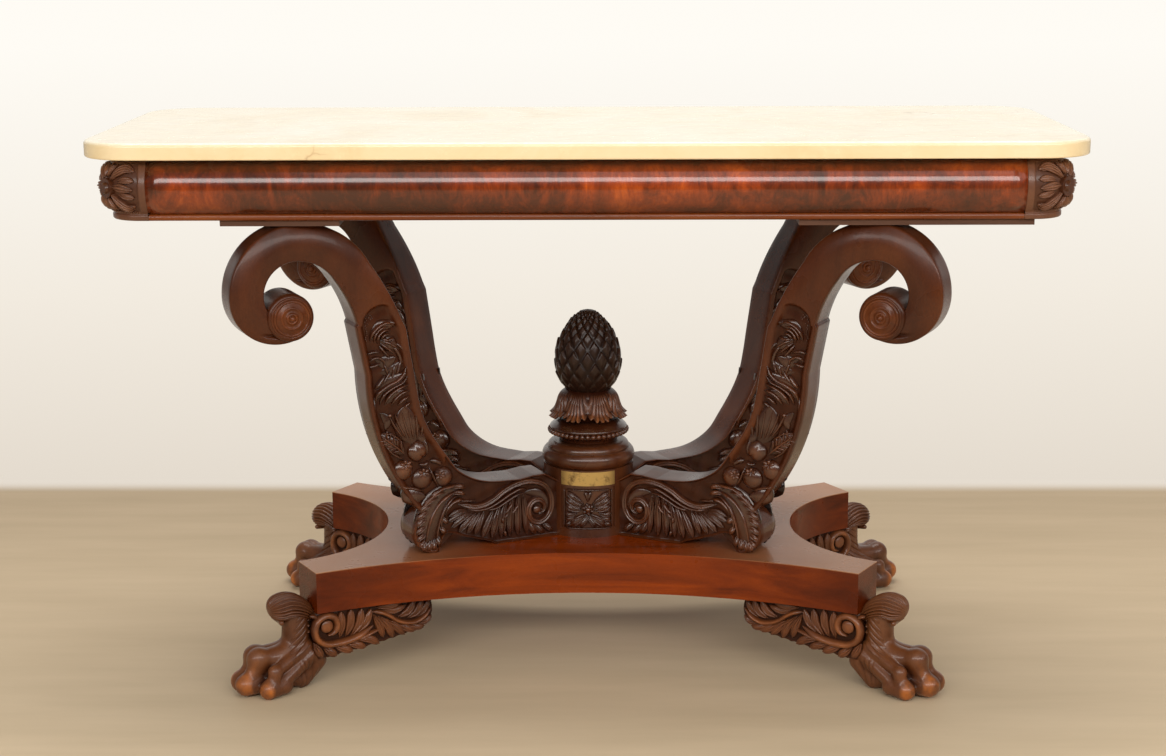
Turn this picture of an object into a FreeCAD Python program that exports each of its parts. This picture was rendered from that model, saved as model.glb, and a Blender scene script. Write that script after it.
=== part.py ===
"""Pier table: marble top on a moulded frame, four scroll legs round a turned column, plinth, paw feet.

Frame: millimetres, +X right, +Y to the back, +Z up. The origin is on the floor, under the middle of
the top.
"""
import FreeCAD, Part

import math
import os

import Sketcher
from FreeCAD import Placement, Rotation, Vector

doc = FreeCAD.newDocument("PierTable")
sheet = doc.addObject("Spreadsheet::Sheet", "Sizes")
PARTS = []          # every object that is one sub-part

# ---------------------------------------------------------------- driving dimensions, millimetres

SIZES = {
    # top and overall
    "table_height": 754,
    "marble_length": 1320,
    "marble_depth": 504,
    "marble_thick": 22,
    "marble_corner": 74,
    "marble_ease": 3,
    # frame and mouldings
    "side_overhang": 20,
    "front_overhang": 12,
    "apron_height": 82,
    "bead_height": 9,
    "bead_out": 16,
    "fillet_height": 4,
    "fillet_out": 12,
    "torus_out": 30,
    "torus_foot": 14,
    "rail_thick": 24,
    "block_size": 70,
    "block_round": 58,
    "tenon_thick": 10,
    "tenon_high": 50,
    "tenon_long": 20,
    "joint_gap": 0.15,
    "cross_rail_wide": 90,
    "cross_rail_thick": 22,
    "glue_block": 24,
    "glue_block_long": 60,
    "rosette_radius": 13,
    "rosette_thick": 10,
    "rosette_sink": 3,
    # cleats between frame and legs
    "cleat_thick": 8,
    "cleat_past_leg": 1,
    "cleat_out": 90,
    "cleat_in": 67,
    "long_cleat_end_inset": 25,
    "long_cleat_in": 110,
    # leg: where its top stands under the frame, then its outline from the top down
    "leg_inset_x": 221,
    "leg_inset_y": 21,
    "leg_thick": 56,
    "mitre_gap": 0.4,
    "cope_gap": 0.3,
    "crown_radius": 94,
    "crown_flat": 26,
    "crown_long_radius": 105,
    "crown_back": 98.7,
    "crown_back_drop": 57,
    "scroll_radius": 64,
    "eye_radius": 32.2,
    "eye_turn": 61.8,
    "mouth_turn": 20,
    "band_wide": 48,
    "throat_offset": 4,
    "throat_radius": 45,
    "throat_long_radius": 62,
    "throat_foot_back": 50,
    "throat_foot_drop": 79,
    "throat_low_radius": 175,
    "neck_drop": 140,
    "neck_back": 80,
    "neck_long_back": 142,
    "neck_long_radius": 400,
    "neck_step": 5,
    "shin_back": 89,
    "shin_drop": 212,
    "shin_radius": 320,
    # leg: foot, measured out from the drum
    "heel_reach": 186,
    "heel_radius": 31,
    "heel_turn": 58,
    "arch_out": 181,
    "arch_in": 93,
    "arch_rise": 20,
    "saddle_reach": 85,
    "saddle_rise": 92,
    "saddle_radius": 110,
    "saddle_dip": 30,
    "crest_rise": 94,
    "crest_chamfer": 14,
    "crest_start": 15,
    "crest_end": 33,
    "boss_radius": 27,
    "boss_thick": 5,
    # column
    "drum_radius": 65,
    "drum_high": 99,
    "panel_low": 13,
    "panel_high": 61,
    "panel_deep": 2,
    "brass_low": 77,
    "brass_high": 20,
    "brass_thick": 1.5,
    "panel_half_turn": 36,
    "collar_radius": 67,
    "collar_high": 32,
    "collar_torus_high": 22,
    "collar_top_radius": 50,
    "neck_radius": 42,
    "bead_disc_radius": 57,
    "bead_disc_high": 27,
    "calyx_radius": 52,
    "calyx_neck_radius": 36,
    "calyx_high": 42,
    "pine_radius": 50,
    "pine_high": 122,
    "pine_seat": 31,
    "pine_belly": 52,
    "pine_shoulder": 26,
    "pine_cap": 12,
    "rod_radius": 5,
    "rod_tip": 50,
    "nut_high": 8,
    "washer_thick": 2,
    "nut_recess": 14,
    "nut_recess_radius": 20,
    # plinth slab and feet
    "foot_height": 108.5,
    "slab_thick": 58.5,
    "slab_past_leg_x": 11,
    "slab_past_leg_y": 36,
    "clip_long": 32,
    "clip_deep": 54,
    "front_hollow": 90,
    "side_hollow": 105,
    "foot_wide": 60,
    "shank_wide": 40,
    "palm_wide": 92,
    "palm_back": 14,
    "palm_front": 72,
    "palm_high": 27,
    "neck_low": 14,
    "knob_high": 27,
    "knob_out": 55,
    "ankle_out": 38,
    "instep_out": 58,
    "instep_high": 60,
    "heel_out": 24,
    "sole_back": 12,
    "sole_front": 74,
    "toe_reach": 114,
    "toe_set_back": 19,
    "toe_pitch": 26,
    "toe_wide": 24,
    "toe_long": 72,
    "toe_radius": 16.5,
    "knuckle_back": 28,
    "knuckle_radius": 16,
    "inner_knuckle_lift": 48,
    "outer_knuckle_lift": 35.5,
    "bracket_long": 175,
    "bracket_tip": 22,
    "bracket_deep": 69,
    "bracket_thick": 58,
    # fasteners
    "screw_radius": 3,
    "screw_head_radius": 6,
    "screw_head_high": 3,
    "screw_point": 6,
    "screw_gap": 0.1,
    "pilot_spare": 2,
    "leg_screw_long": 90,
    "leg_screw_sink": 12,
    "leg_screw_arch_inset": 45,
    "top_screw_long": 58,
    "top_screw_inset": 14,
    "cleat_screw_long": 24,
    "cleat_screw_inset": 20,
    "bracket_screw_long": 70,
    "bracket_screw_low": 38,
    "bracket_screw_near": 50,
    "bracket_screw_far": 104,
    "dowel_radius": 5,
    "dowel_long": 60,
    "dowel_low": 26,
    "dowel_spacing": 36,
    "foot_dowel_drop": 30,
}


class Size:
    """A length or angle that knows both its number and the sheet expression it comes from."""

    def __init__(self, value, text):
        self.value = float(value)
        self.text = text

    def __add__(self, other):
        other = as_size(other)
        return Size(self.value + other.value, f"({self.text} + {other.text})")

    def __sub__(self, other):
        other = as_size(other)
        return Size(self.value - other.value, f"({self.text} - {other.text})")

    def __mul__(self, other):
        other = as_size(other)
        return Size(self.value * other.value, f"({self.text} * {other.text})")

    def __truediv__(self, other):
        other = as_size(other)
        return Size(self.value / other.value, f"({self.text} / {other.text})")

    def __neg__(self):
        return Size(-self.value, f"(0 - {self.text})")

    __radd__ = __add__
    __rmul__ = __mul__

    def __rsub__(self, other):
        return as_size(other) - self


def as_size(number):
    return number if isinstance(number, Size) else Size(number, f"({number:g})")


def cosine(angle):
    return Size(math.cos(math.radians(angle.value)), f"cos({angle.text})")


def sine(angle):
    return Size(math.sin(math.radians(angle.value)), f"sin({angle.text})")


def root(size):
    return Size(math.sqrt(size.value), f"sqrt({size.text})")


def arc_radius(half_chord, rise):
    """Radius of the arc that rises so far over a chord."""
    return (half_chord * half_chord + rise * rise) / (rise * 2)


def fill_sheet():
    for row, (alias, number) in enumerate(SIZES.items(), start=1):
        sheet.set(f"A{row}", alias)
        sheet.set(f"B{row}", f"{number:g}")
        sheet.setAlias(f"B{row}", alias)
    doc.recompute()
    return {alias: Size(sheet.get(alias), f"Sizes.{alias}") for alias in SIZES}


S = fill_sheet()

# ---------------------------------------------------------------- heights and places worked out

marble_bottom = S["table_height"] - S["marble_thick"]
apron_bottom = marble_bottom - S["apron_height"]
torus_bottom = apron_bottom + S["bead_height"]
torus_top = marble_bottom - S["fillet_height"]
torus_middle = (torus_bottom + torus_top) / 2
apron_middle = (apron_bottom + marble_bottom) / 2
cross_rail_top = apron_bottom + S["cross_rail_thick"]
leg_top = apron_bottom - S["cleat_thick"]
slab_bottom = S["foot_height"]
slab_top = slab_bottom + S["slab_thick"]
drum = S["drum_radius"]
drum_top = slab_top + S["drum_high"]
collar_top = drum_top + S["collar_high"]
disc_top = collar_top + S["bead_disc_high"]
calyx_top = disc_top + S["calyx_high"]
pine_top = calyx_top + S["pine_high"]

diagonal = sine(as_size(45))
rail_face_x = S["marble_length"] / 2 - S["side_overhang"] - S["torus_out"]
rail_face_y = S["marble_depth"] / 2 - S["front_overhang"] - S["torus_out"]
block_x = rail_face_x + S["torus_out"] - S["block_size"]
block_y = rail_face_y + S["torus_out"] - S["block_size"]

# the legs stand under the frame's corners, in vertical planes through the column's axis
leg_top_x = rail_face_x - S["leg_inset_x"]
leg_top_y = rail_face_y - S["leg_inset_y"]
leg_reach = root(leg_top_x * leg_top_x + leg_top_y * leg_top_y)
leg_cosine = leg_top_x / leg_reach
leg_sine = leg_top_y / leg_reach
leg_angle = math.degrees(math.atan2(leg_top_y.value, leg_top_x.value))

scroll_centre_r = leg_reach + S["crown_radius"] - S["scroll_radius"]
scroll_centre_z = leg_top - S["crown_radius"]
eye_r = scroll_centre_r - (S["scroll_radius"] - S["eye_radius"]) * cosine(S["eye_turn"])
eye_z = scroll_centre_z - (S["scroll_radius"] - S["eye_radius"]) * sine(S["eye_turn"])

slab_half_length = leg_top_x + S["slab_past_leg_x"]
slab_half_depth = leg_top_y + S["slab_past_leg_y"]
clip_mid_x = slab_half_length - S["clip_long"] / 2
clip_mid_y = slab_half_depth - S["clip_deep"] / 2
clip_angle = math.degrees(math.atan2(S["clip_long"].value, S["clip_deep"].value))
clip_long_side = root(S["clip_long"] * S["clip_long"] + S["clip_deep"] * S["clip_deep"])
clip_cosine = S["clip_deep"] / clip_long_side
clip_sine = S["clip_long"] / clip_long_side
heel_top = slab_bottom - S["bracket_deep"]
foot_dowel_z = slab_bottom - S["foot_dowel_drop"]

# fastener places and the holes they need
pilot_radius = S["screw_radius"] + S["screw_gap"]
head_radius = S["screw_head_radius"] + S["screw_gap"]
dowel_bore = S["dowel_radius"] + S["screw_gap"]
rod_bore = S["rod_radius"] + S["joint_gap"]
top_screw_y = leg_top_y - S["top_screw_inset"]
top_screw_r = leg_top_x * leg_cosine + top_screw_y * leg_sine
top_screw_off = leg_top_x * leg_sine - top_screw_y * leg_cosine
leg_screw_reaches = (drum + S["arch_in"] - S["leg_screw_arch_inset"], drum + S["heel_reach"])
dowel_heights = (slab_top + S["dowel_low"], slab_top + S["dowel_low"] + S["dowel_spacing"])
bracket_screw_reaches = (S["bracket_screw_near"], S["bracket_screw_far"])

CORNERS = {"back_right": (1, 1), "back_left": (-1, 1), "front_left": (-1, -1), "front_right": (1, -1)}


def corner_turn(sign_x, sign_y, angle):
    """Turn about +Z that takes +X to the direction at an angle from the X axis in one quarter."""
    return math.degrees(math.atan2(sign_y * math.sin(math.radians(angle)),
                                   sign_x * math.cos(math.radians(angle))))


def turned(angle, x=0.0, y=0.0, z=0.0):
    return Placement(Vector(x, y, z), Rotation(Vector(0, 0, 1), angle))


# ---------------------------------------------------------------- sketch and feature helpers

def new_body(label, placement=None, part=True):
    body = doc.addObject("PartDesign::Body", label)
    body.Label = label
    if placement is not None:
        body.Placement = placement
    if part:
        PARTS.append(body)
    return body


def origin_plane(body, role):
    return next(feature for feature in body.Origin.OriginFeatures if feature.Role == role)


def new_sketch(body, role, offset=None):
    """A sketch on one of the body's own origin planes, moved along that plane's normal."""
    sketch = body.newObject("Sketcher::SketchObject", body.Name + "_sketch")
    sketch.AttachmentSupport = (origin_plane(body, role), [""])
    sketch.MapMode = "FlatFace"
    if offset is not None:
        sketch.setExpression("AttachmentOffset.Base.z", as_size(offset).text)
    return sketch


def pin_point(sketch, edge, end, x, y):
    """Hold one end of an edge at sheet-driven coordinates."""
    for kind, size, axis in (("DistanceX", as_size(x), -2), ("DistanceY", as_size(y), -1)):
        if abs(size.value) < 1e-9:
            sketch.addConstraint(Sketcher.Constraint("PointOnObject", edge, end, axis))
        else:
            row = sketch.addConstraint(Sketcher.Constraint(kind, edge, end, size.value))
            sketch.setExpression(f"Constraints[{row}]", size.text)


def pin_radius(sketch, edge, radius):
    row = sketch.addConstraint(Sketcher.Constraint("Radius", edge, radius.value))
    sketch.setExpression(f"Constraints[{row}]", radius.text)


def arc_between(start, stop, bend):
    """The arc of a signed radius from start to stop, as a circle and its two angles."""
    radius = abs(bend)
    chord = stop - start
    left = Vector(-chord.y, chord.x, 0).normalize()
    depth = math.sqrt(radius ** 2 - (chord.Length / 2) ** 2)
    centre = start + chord / 2 + left * math.copysign(depth, bend)
    first, last = (start, stop) if bend > 0 else (stop, start)
    angles = [math.atan2(point.y - centre.y, point.x - centre.x) for point in (first, last)]
    if angles[1] < angles[0]:
        angles[1] += 2 * math.pi
    return Part.ArcOfCircle(Part.Circle(centre, Vector(0, 0, 1), radius), *angles)


def chain(sketch, points, closed):
    """Join points by lines and arcs. A point is (x, y) or (x, y, bend): the bend is the radius of
    the arc that leaves it, plus where the arc turns left (anticlockwise), minus where it turns
    right."""
    corners = [Vector(as_size(point[0]).value, as_size(point[1]).value, 0) for point in points]
    edges = len(points) if closed else len(points) - 1
    ends = []
    for index in range(edges):
        start = corners[index]
        stop = corners[(index + 1) % len(points)]
        if len(points[index]) == 2:
            sketch.addGeometry(Part.LineSegment(start, stop), False)
            ends.append((1, 2))
        else:
            bend = as_size(points[index][2]).value
            sketch.addGeometry(arc_between(start, stop, bend), False)
            ends.append((1, 2) if bend > 0 else (2, 1))
    for index in range(edges if closed else edges - 1):
        following = (index + 1) % edges
        sketch.addConstraint(Sketcher.Constraint(
            "Coincident", index, ends[index][1], following, ends[following][0]))
    for index, point in enumerate(points):
        edge, side = (index, 0) if index < edges else (index - 1, 1)
        pin_point(sketch, edge, ends[edge][side], point[0], point[1])
    for index in range(edges):
        if len(points[index]) == 3:
            bend = as_size(points[index][2])
            pin_radius(sketch, index, bend if bend.value > 0 else -bend)


def outline(sketch, points):
    chain(sketch, points, closed=True)


def circle(sketch, x, y, radius):
    middle = Vector(as_size(x).value, as_size(y).value, 0)
    edge = sketch.addGeometry(Part.Circle(middle, Vector(0, 0, 1), as_size(radius).value), False)
    pin_point(sketch, edge, 3, x, y)
    pin_radius(sketch, edge, as_size(radius))


def rectangle(sketch, x0, x1, y0, y1):
    outline(sketch, [(x0, y0), (x1, y0), (x1, y1), (x0, y1)])


def extrude(body, kind, sketch, length, reverse=False):
    feature = body.newObject(f"PartDesign::{kind}", f"{body.Name}_{kind}")
    feature.Profile = sketch
    feature.Length = as_size(length).value
    feature.setExpression("Length", as_size(length).text)
    feature.Reversed = reverse
    sketch.Visibility = False
    return feature


def cut(body, sketch, length, reverse=False):
    """Pocket, and stop if it took nothing away."""
    doc.recompute()
    before = body.Shape.Volume
    feature = extrude(body, "Pocket", sketch, length, reverse)
    doc.recompute()
    if not body.Shape.Volume < before - 1e-3:
        raise RuntimeError(f"{body.Label}: {feature.Name} cut nothing")


def spin(body, kind, sketch):
    feature = body.newObject(f"PartDesign::{kind}", f"{body.Name}_{kind}")
    feature.Profile = sketch
    feature.ReferenceAxis = (sketch, ["V_Axis"])
    feature.Angle = 360
    sketch.Visibility = False
    return feature


def attach_at(feature, body, base, rotation):
    """Place a feature in its body by sheet-driven coordinates and a turn."""
    feature.AttachmentSupport = (origin_plane(body, "XY_Plane"), [""])
    feature.MapMode = "FlatFace"
    feature.AttachmentOffset = Placement(Vector(), rotation)
    for letter, size in zip("xyz", base):
        feature.setExpression(f"AttachmentOffset.Base.{letter}", as_size(size).text)


def bore_along(body, name, base, heading, radius, length):
    """A round hole from a point along a direction."""
    sketch = body.newObject("Sketcher::SketchObject", f"{body.Name}_{name}")
    attach_at(sketch, body, base, Rotation(Vector(0, 0, 1), heading))
    circle(sketch, 0, 0, radius)
    cut(body, sketch, length, reverse=True)


def block(body, x0, x1, y0, y1, z0, z1):
    """A rectangular pad between two corners."""
    sketch = new_sketch(body, "XY_Plane", z0)
    rectangle(sketch, x0, x1, y0, y1)
    return extrude(body, "Pad", sketch, as_size(z1) - z0)


def holes(body, places, radius, start, length, upward=True):
    """Round holes along Z from one height, all of one radius and depth."""
    sketch = new_sketch(body, "XY_Plane", start)
    for x, y in places:
        circle(sketch, x, y, radius)
    return cut(body, sketch, length, upward)


def group(label, shapes):
    """Identical separate solids in one node."""
    feature = doc.addObject("Part::Feature", label)
    feature.Label = label
    feature.Shape = Part.makeCompound(shapes)
    PARTS.append(feature)
    return feature


def copies(master, placements):
    """The master's solid, placed again and again."""
    doc.recompute()
    return [master.Shape.transformed(place.toMatrix()) for place in placements]


# ---------------------------------------------------------------- marble top

def make_marble():
    body = new_body("marble_top")
    half_x = S["marble_length"] / 2
    half_y = S["marble_depth"] / 2
    corner = S["marble_corner"]
    sketch = new_sketch(body, "XY_Plane", marble_bottom)
    outline(sketch, [
        (-half_x + corner, -half_y), (half_x - corner, -half_y, corner),
        (half_x, -half_y + corner), (half_x, half_y - corner, corner),
        (half_x - corner, half_y), (-half_x + corner, half_y, corner),
        (-half_x, half_y - corner), (-half_x, -half_y + corner, corner),
    ])
    slab = extrude(body, "Pad", sketch, S["marble_thick"])
    doc.recompute()
    top = S["table_height"].value
    rim = [f"Edge{number}" for number, edge in enumerate(slab.Shape.Edges, start=1)
           if abs(edge.BoundBox.ZMin - top) < 1e-6]
    ease = body.newObject("PartDesign::Fillet", "marble_top_ease")
    ease.Base = (slab, rim)
    ease.setExpression("Radius", S["marble_ease"].text)


# ---------------------------------------------------------------- frame: rails, blocks, mouldings

# each side: the turn that brings its outer face to +Y, that face's distance, half the rail's span
SIDES = {
    "back": (0, rail_face_y, block_x),
    "left": (90, rail_face_x, block_y),
    "front": (180, rail_face_y, block_x),
    "right": (270, rail_face_x, block_y),
}


def make_rail(side):
    """A rail with a tenon on each end; +Y is outward before it is turned to its side."""
    angle, face, half_span = SIDES[side]
    body = new_body(f"{side}_rail", turned(angle))
    block(body, -half_span, half_span, face - S["rail_thick"], face, apron_bottom, marble_bottom)
    middle_y = face - S["rail_thick"] / 2
    reach = half_span + S["tenon_long"]
    block(body, -reach, reach,
          middle_y - S["tenon_thick"] / 2, middle_y + S["tenon_thick"] / 2,
          apron_middle - S["tenon_high"] / 2, apron_middle + S["tenon_high"] / 2)
    sign_y = {"back": 1, "front": -1}.get(side, 0)
    spots = [(x * sign_y, y * sign_y) for corner in CORNERS if CORNERS[corner][1] == sign_y
             for x, y in cleat_screw_places(corner)]
    if spots:
        holes(body, spots, pilot_radius, apron_bottom,
              S["cleat_screw_long"] - S["cleat_thick"] + S["pilot_spare"])


def torus_profile(face):
    foot = face + S["torus_foot"]
    rise = S["torus_out"] - S["torus_foot"]
    bend = arc_radius((torus_top - torus_bottom) / 2, rise)
    return [(face, torus_bottom), (foot, torus_bottom, bend), (foot, torus_top), (face, torus_top)]


def fillet_profile(face):
    edge = face + S["fillet_out"]
    return [(face, torus_top), (edge, torus_top), (edge, marble_bottom), (face, marble_bottom)]


def bead_profile(face):
    edge = face + S["bead_out"]
    nose = S["bead_height"] / 2
    return [(face, apron_bottom), (edge - nose, apron_bottom, nose), (edge, apron_bottom + nose, nose),
            (edge - nose, torus_bottom), (face, torus_bottom)]


def make_moulding(label, side, profile):
    """A straight strip of one profile along a rail, from block to block."""
    angle, face, half_span = SIDES[side]
    body = new_body(label, turned(angle))
    sketch = new_sketch(body, "YZ_Plane", -half_span)
    outline(sketch, profile(face))
    extrude(body, "Pad", sketch, half_span * 2)


def make_corner_block(corner):
    """A block with one rounded corner, that the torus runs round; +X and +Y are outward."""
    sign_x, sign_y = CORNERS[corner]
    quarter = {(1, 1): 0, (-1, 1): 90, (-1, -1): 180, (1, -1): 270}[sign_x, sign_y]
    body = new_body(f"{corner}_corner_block",
                    turned(quarter, sign_x * block_x.value, sign_y * block_y.value))
    core = S["block_size"] - S["torus_out"]
    bend = S["block_round"] - S["torus_out"]
    for out, low, high in ((0, apron_bottom, marble_bottom),
                           (S["bead_out"], apron_bottom, torus_bottom),
                           (S["fillet_out"], torus_top, marble_bottom)):
        sketch = new_sketch(body, "XY_Plane", low)
        reach = core + out
        straight = core - bend
        outline(sketch, [(0, 0), (reach, 0), (reach, straight, bend + out), (straight, reach),
                         (0, reach)])
        extrude(body, "Pad", sketch, high - low)
    path = new_sketch(body, "XY_Plane", torus_bottom)
    chain(path, [(core, 0), (core, core - bend, bend), (core - bend, core), (0, core)], closed=False)
    profile = new_sketch(body, "XZ_Plane")
    outline(profile, torus_profile(core))
    doc.recompute()
    wrap = body.newObject("PartDesign::AdditivePipe", f"{body.Name}_wrap")
    wrap.Profile = profile
    wrap.Spine = (path, ["Edge1", "Edge2", "Edge3"])
    middle = core - S["rail_thick"] / 2
    half_thick = S["tenon_thick"] / 2 + S["joint_gap"]
    half_high = S["tenon_high"] / 2 + S["joint_gap"]
    depth = S["tenon_long"] + S["joint_gap"]
    for role, into in (("YZ_Plane", True), ("XZ_Plane", False)):
        mortise = new_sketch(body, role)
        rectangle(mortise, middle - half_thick, middle + half_thick,
                  apron_middle - half_high, apron_middle + half_high)
        cut(body, mortise, depth, into)
    spot = core - bend + (S["block_round"] - S["rosette_sink"]) * diagonal
    bore_along(body, "rosette_seat", (spot, spot, torus_middle), Vector(1, 1, 0),
               S["rosette_radius"] + S["joint_gap"], S["rosette_thick"])


def make_rosettes():
    """Turned bosses let into the rounded corners of the frame."""
    master = new_body("rosette_master", part=False)
    sketch = new_sketch(master, "XZ_Plane")
    radius = S["rosette_radius"]
    thick = S["rosette_thick"]
    outline(sketch, [(0, 0), (radius, 0), (radius, thick * 0.6), (radius * 0.6, thick * 0.6),
                     (radius * 0.5, thick), (0, thick)])
    spin(master, "Revolution", sketch)
    places = []
    inner = S["block_size"] - S["block_round"]
    out = (S["block_round"] - S["rosette_sink"]) * diagonal
    for sign_x, sign_y in CORNERS.values():
        spot = Vector(sign_x * (block_x + inner + out).value,
                      sign_y * (block_y + inner + out).value, torus_middle.value)
        places.append(Placement(spot, Rotation(Vector(0, 0, 1), Vector(sign_x, sign_y, 0))))
    group("corner_rosettes", copies(master, places))


def make_cross_rail(side, sign):
    """A flat rail between front and back rails, that two legs are screwed up to."""
    body = new_body(f"{side}_cross_rail")
    half = S["cross_rail_wide"] / 2
    end = rail_face_y - S["rail_thick"]
    block(body, leg_top_x * sign - half, leg_top_x * sign + half, -end, end,
          apron_bottom, cross_rail_top)
    spots = [(leg_top_x * sign, top_screw_y * side_y) for side_y in (-1, 1)]
    holes(body, spots, pilot_radius, apron_bottom, S["cross_rail_thick"])
    holes(body, spots, head_radius, cross_rail_top, S["screw_head_high"], upward=False)


def make_glue_blocks():
    """Blocks in the angles between cross rails and front and back rails."""
    size = S["glue_block"].value
    length = S["glue_block_long"].value
    face = (rail_face_y - S["rail_thick"]).value
    shapes = []
    for sign_x, sign_y in CORNERS.values():
        start = sign_x * leg_top_x.value - length / 2
        near = face - size if sign_y > 0 else -face
        shapes.append(Part.makeBox(length, size, size, Vector(start, near, cross_rail_top.value)))
    group("glue_blocks", shapes)


# ---------------------------------------------------------------- cleats, legs, bosses

def cleat_span(corner):
    """From and to along X: the right-hand cleats run on towards the end of the frame."""
    if CORNERS[corner][0] < 0:
        return -(leg_top_x + S["cleat_out"]), -(leg_top_x - S["cleat_in"])
    return leg_top_x - S["long_cleat_in"], rail_face_x - S["long_cleat_end_inset"]


def cleat_screw_places(corner):
    low, high = cleat_span(corner)
    middle = (rail_face_y - S["rail_thick"] / 2) * CORNERS[corner][1]
    return [(low + S["cleat_screw_inset"], middle), (high - S["cleat_screw_inset"], middle)]


def make_cleat(corner):
    sign_x, sign_y = CORNERS[corner]
    body = new_body(f"{corner}_cleat")
    low, high = cleat_span(corner)
    half = S["leg_thick"] / 2 + S["cleat_past_leg"]
    middle = leg_top_y * sign_y
    block(body, low, high, middle - half, middle + half, leg_top, apron_bottom)
    frame_screws = cleat_screw_places(corner)
    leg_screw = (leg_top_x * sign_x, top_screw_y * sign_y)
    holes(body, frame_screws + [leg_screw], pilot_radius, leg_top, S["cleat_thick"])
    holes(body, frame_screws, head_radius, leg_top, S["screw_head_high"])


def leg_outline():
    """Scroll, neck, shin, heel, arch, saddle and back up; distance from the axis, then height."""
    half_flat = S["crown_flat"] / 2
    turn_cosine = cosine(S["eye_turn"])
    turn_sine = sine(S["eye_turn"])
    mouth_r = eye_r + S["eye_radius"] * cosine(S["mouth_turn"])
    mouth_z = eye_z + S["eye_radius"] * sine(S["mouth_turn"])
    heel_r = drum + S["heel_reach"]
    heel_z = slab_top + S["heel_radius"]
    arch_bend = arc_radius((S["arch_out"] - S["arch_in"]) / 2, S["arch_rise"])
    neck_z = leg_top - S["neck_drop"]
    crest_z = slab_top + S["crest_rise"]
    saddle_z = slab_top + S["saddle_rise"]
    saddle_r = drum + S["saddle_reach"]
    inside_drum = drum - S["cope_gap"] - 7
    return [
        (leg_reach + half_flat, leg_top, -S["crown_radius"]),
        (leg_reach + S["crown_radius"], scroll_centre_z, -S["scroll_radius"]),
        (scroll_centre_r, scroll_centre_z - S["scroll_radius"], -S["scroll_radius"]),
        (scroll_centre_r - S["scroll_radius"] * turn_cosine,
         scroll_centre_z - S["scroll_radius"] * turn_sine, -S["eye_radius"]),
        (eye_r - S["eye_radius"], eye_z, -S["eye_radius"]),
        (eye_r, eye_z + S["eye_radius"], -S["eye_radius"]),
        (mouth_r, mouth_z, S["throat_radius"]),
        (leg_reach + S["throat_offset"], leg_top - S["band_wide"], S["throat_long_radius"]),
        (leg_reach - S["throat_foot_back"], leg_top - S["throat_foot_drop"], S["throat_low_radius"]),
        (leg_reach - S["neck_back"], neck_z),
        (leg_reach - S["neck_back"] + S["neck_step"], neck_z - S["neck_step"]),
        (leg_reach - S["shin_back"], leg_top - S["shin_drop"], -S["shin_radius"]),
        (heel_r + S["heel_radius"] * cosine(S["heel_turn"]),
         heel_z + S["heel_radius"] * sine(S["heel_turn"]), -S["heel_radius"]),
        (heel_r + S["heel_radius"], heel_z, -S["heel_radius"]),
        (heel_r, slab_top),
        (drum + S["arch_out"], slab_top, arch_bend),
        (drum + S["arch_in"], slab_top),
        (inside_drum, slab_top),
        (inside_drum, crest_z - S["crest_chamfer"]),
        (drum + S["crest_start"], crest_z),
        (drum + S["crest_end"], crest_z),
        (saddle_r - S["saddle_dip"], saddle_z - 1),
        (saddle_r, saddle_z, S["saddle_radius"]),
        (saddle_r + S["saddle_radius"], saddle_z + S["saddle_radius"]),
        (leg_reach - S["neck_long_back"] - S["neck_step"], neck_z - S["neck_step"] * 2),
        (leg_reach - S["neck_long_back"], neck_z, -S["neck_long_radius"]),
        (leg_reach - S["crown_back"], leg_top - S["crown_back_drop"], -S["crown_long_radius"]),
        (leg_reach - half_flat, leg_top),
    ]


def leg_place(corner):
    """The leg's own frame: +X out from the column's axis, in the leg's middle plane."""
    return turned(corner_turn(*CORNERS[corner], leg_angle))


def make_leg(corner):
    """Sawn from one plank in a plane through the column's axis, coped to the drum and mitred
    against the legs beside it."""
    sign_x, sign_y = CORNERS[corner]
    side = sign_x * sign_y
    body = new_body(f"{corner}_leg", leg_place(corner))
    sketch = new_sketch(body, "XZ_Plane", -(S["leg_thick"] / 2))
    outline(sketch, leg_outline())
    extrude(body, "Pad", sketch, S["leg_thick"])
    radius = drum + S["cope_gap"]
    far = drum + S["leg_thick"] * 2
    gap = S["mitre_gap"] * side
    # from a point a distance along the side plane of the table, in the leg's frame
    near_end = (radius * leg_cosine, -(radius * leg_sine * side) + gap)
    far_end = (far * leg_cosine, -(far * leg_sine * side) + gap)
    up_end = (radius * leg_sine + S["mitre_gap"], radius * leg_cosine * side)
    up_far = (far * leg_sine + S["mitre_gap"], far * leg_cosine * side)
    plan = new_sketch(body, "XY_Plane", slab_top)
    outline(plan, [near_end + (radius * side,), up_end, up_far, (-far, far * leg_cosine * side),
                   (-far, far_end[1]), far_end])
    cut(body, plan, S["crest_rise"] + S["leg_thick"], reverse=True)
    pilots = [(reach, 0) for reach in leg_screw_reaches]
    holes(body, pilots, pilot_radius, slab_top,
          S["leg_screw_long"] - S["slab_thick"] + S["leg_screw_sink"] + S["pilot_spare"])
    holes(body, [(top_screw_r, top_screw_off * -side)], pilot_radius, leg_top,
          S["top_screw_long"] - S["cross_rail_thick"] - S["cleat_thick"] + S["pilot_spare"],
          upward=False)
    for number, height in enumerate(dowel_heights):
        bore_along(body, f"dowel{number}", (0, 0, height), Vector(1, 0, 0),
                   dowel_bore, drum + S["dowel_long"] / 2 + S["pilot_spare"])


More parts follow.
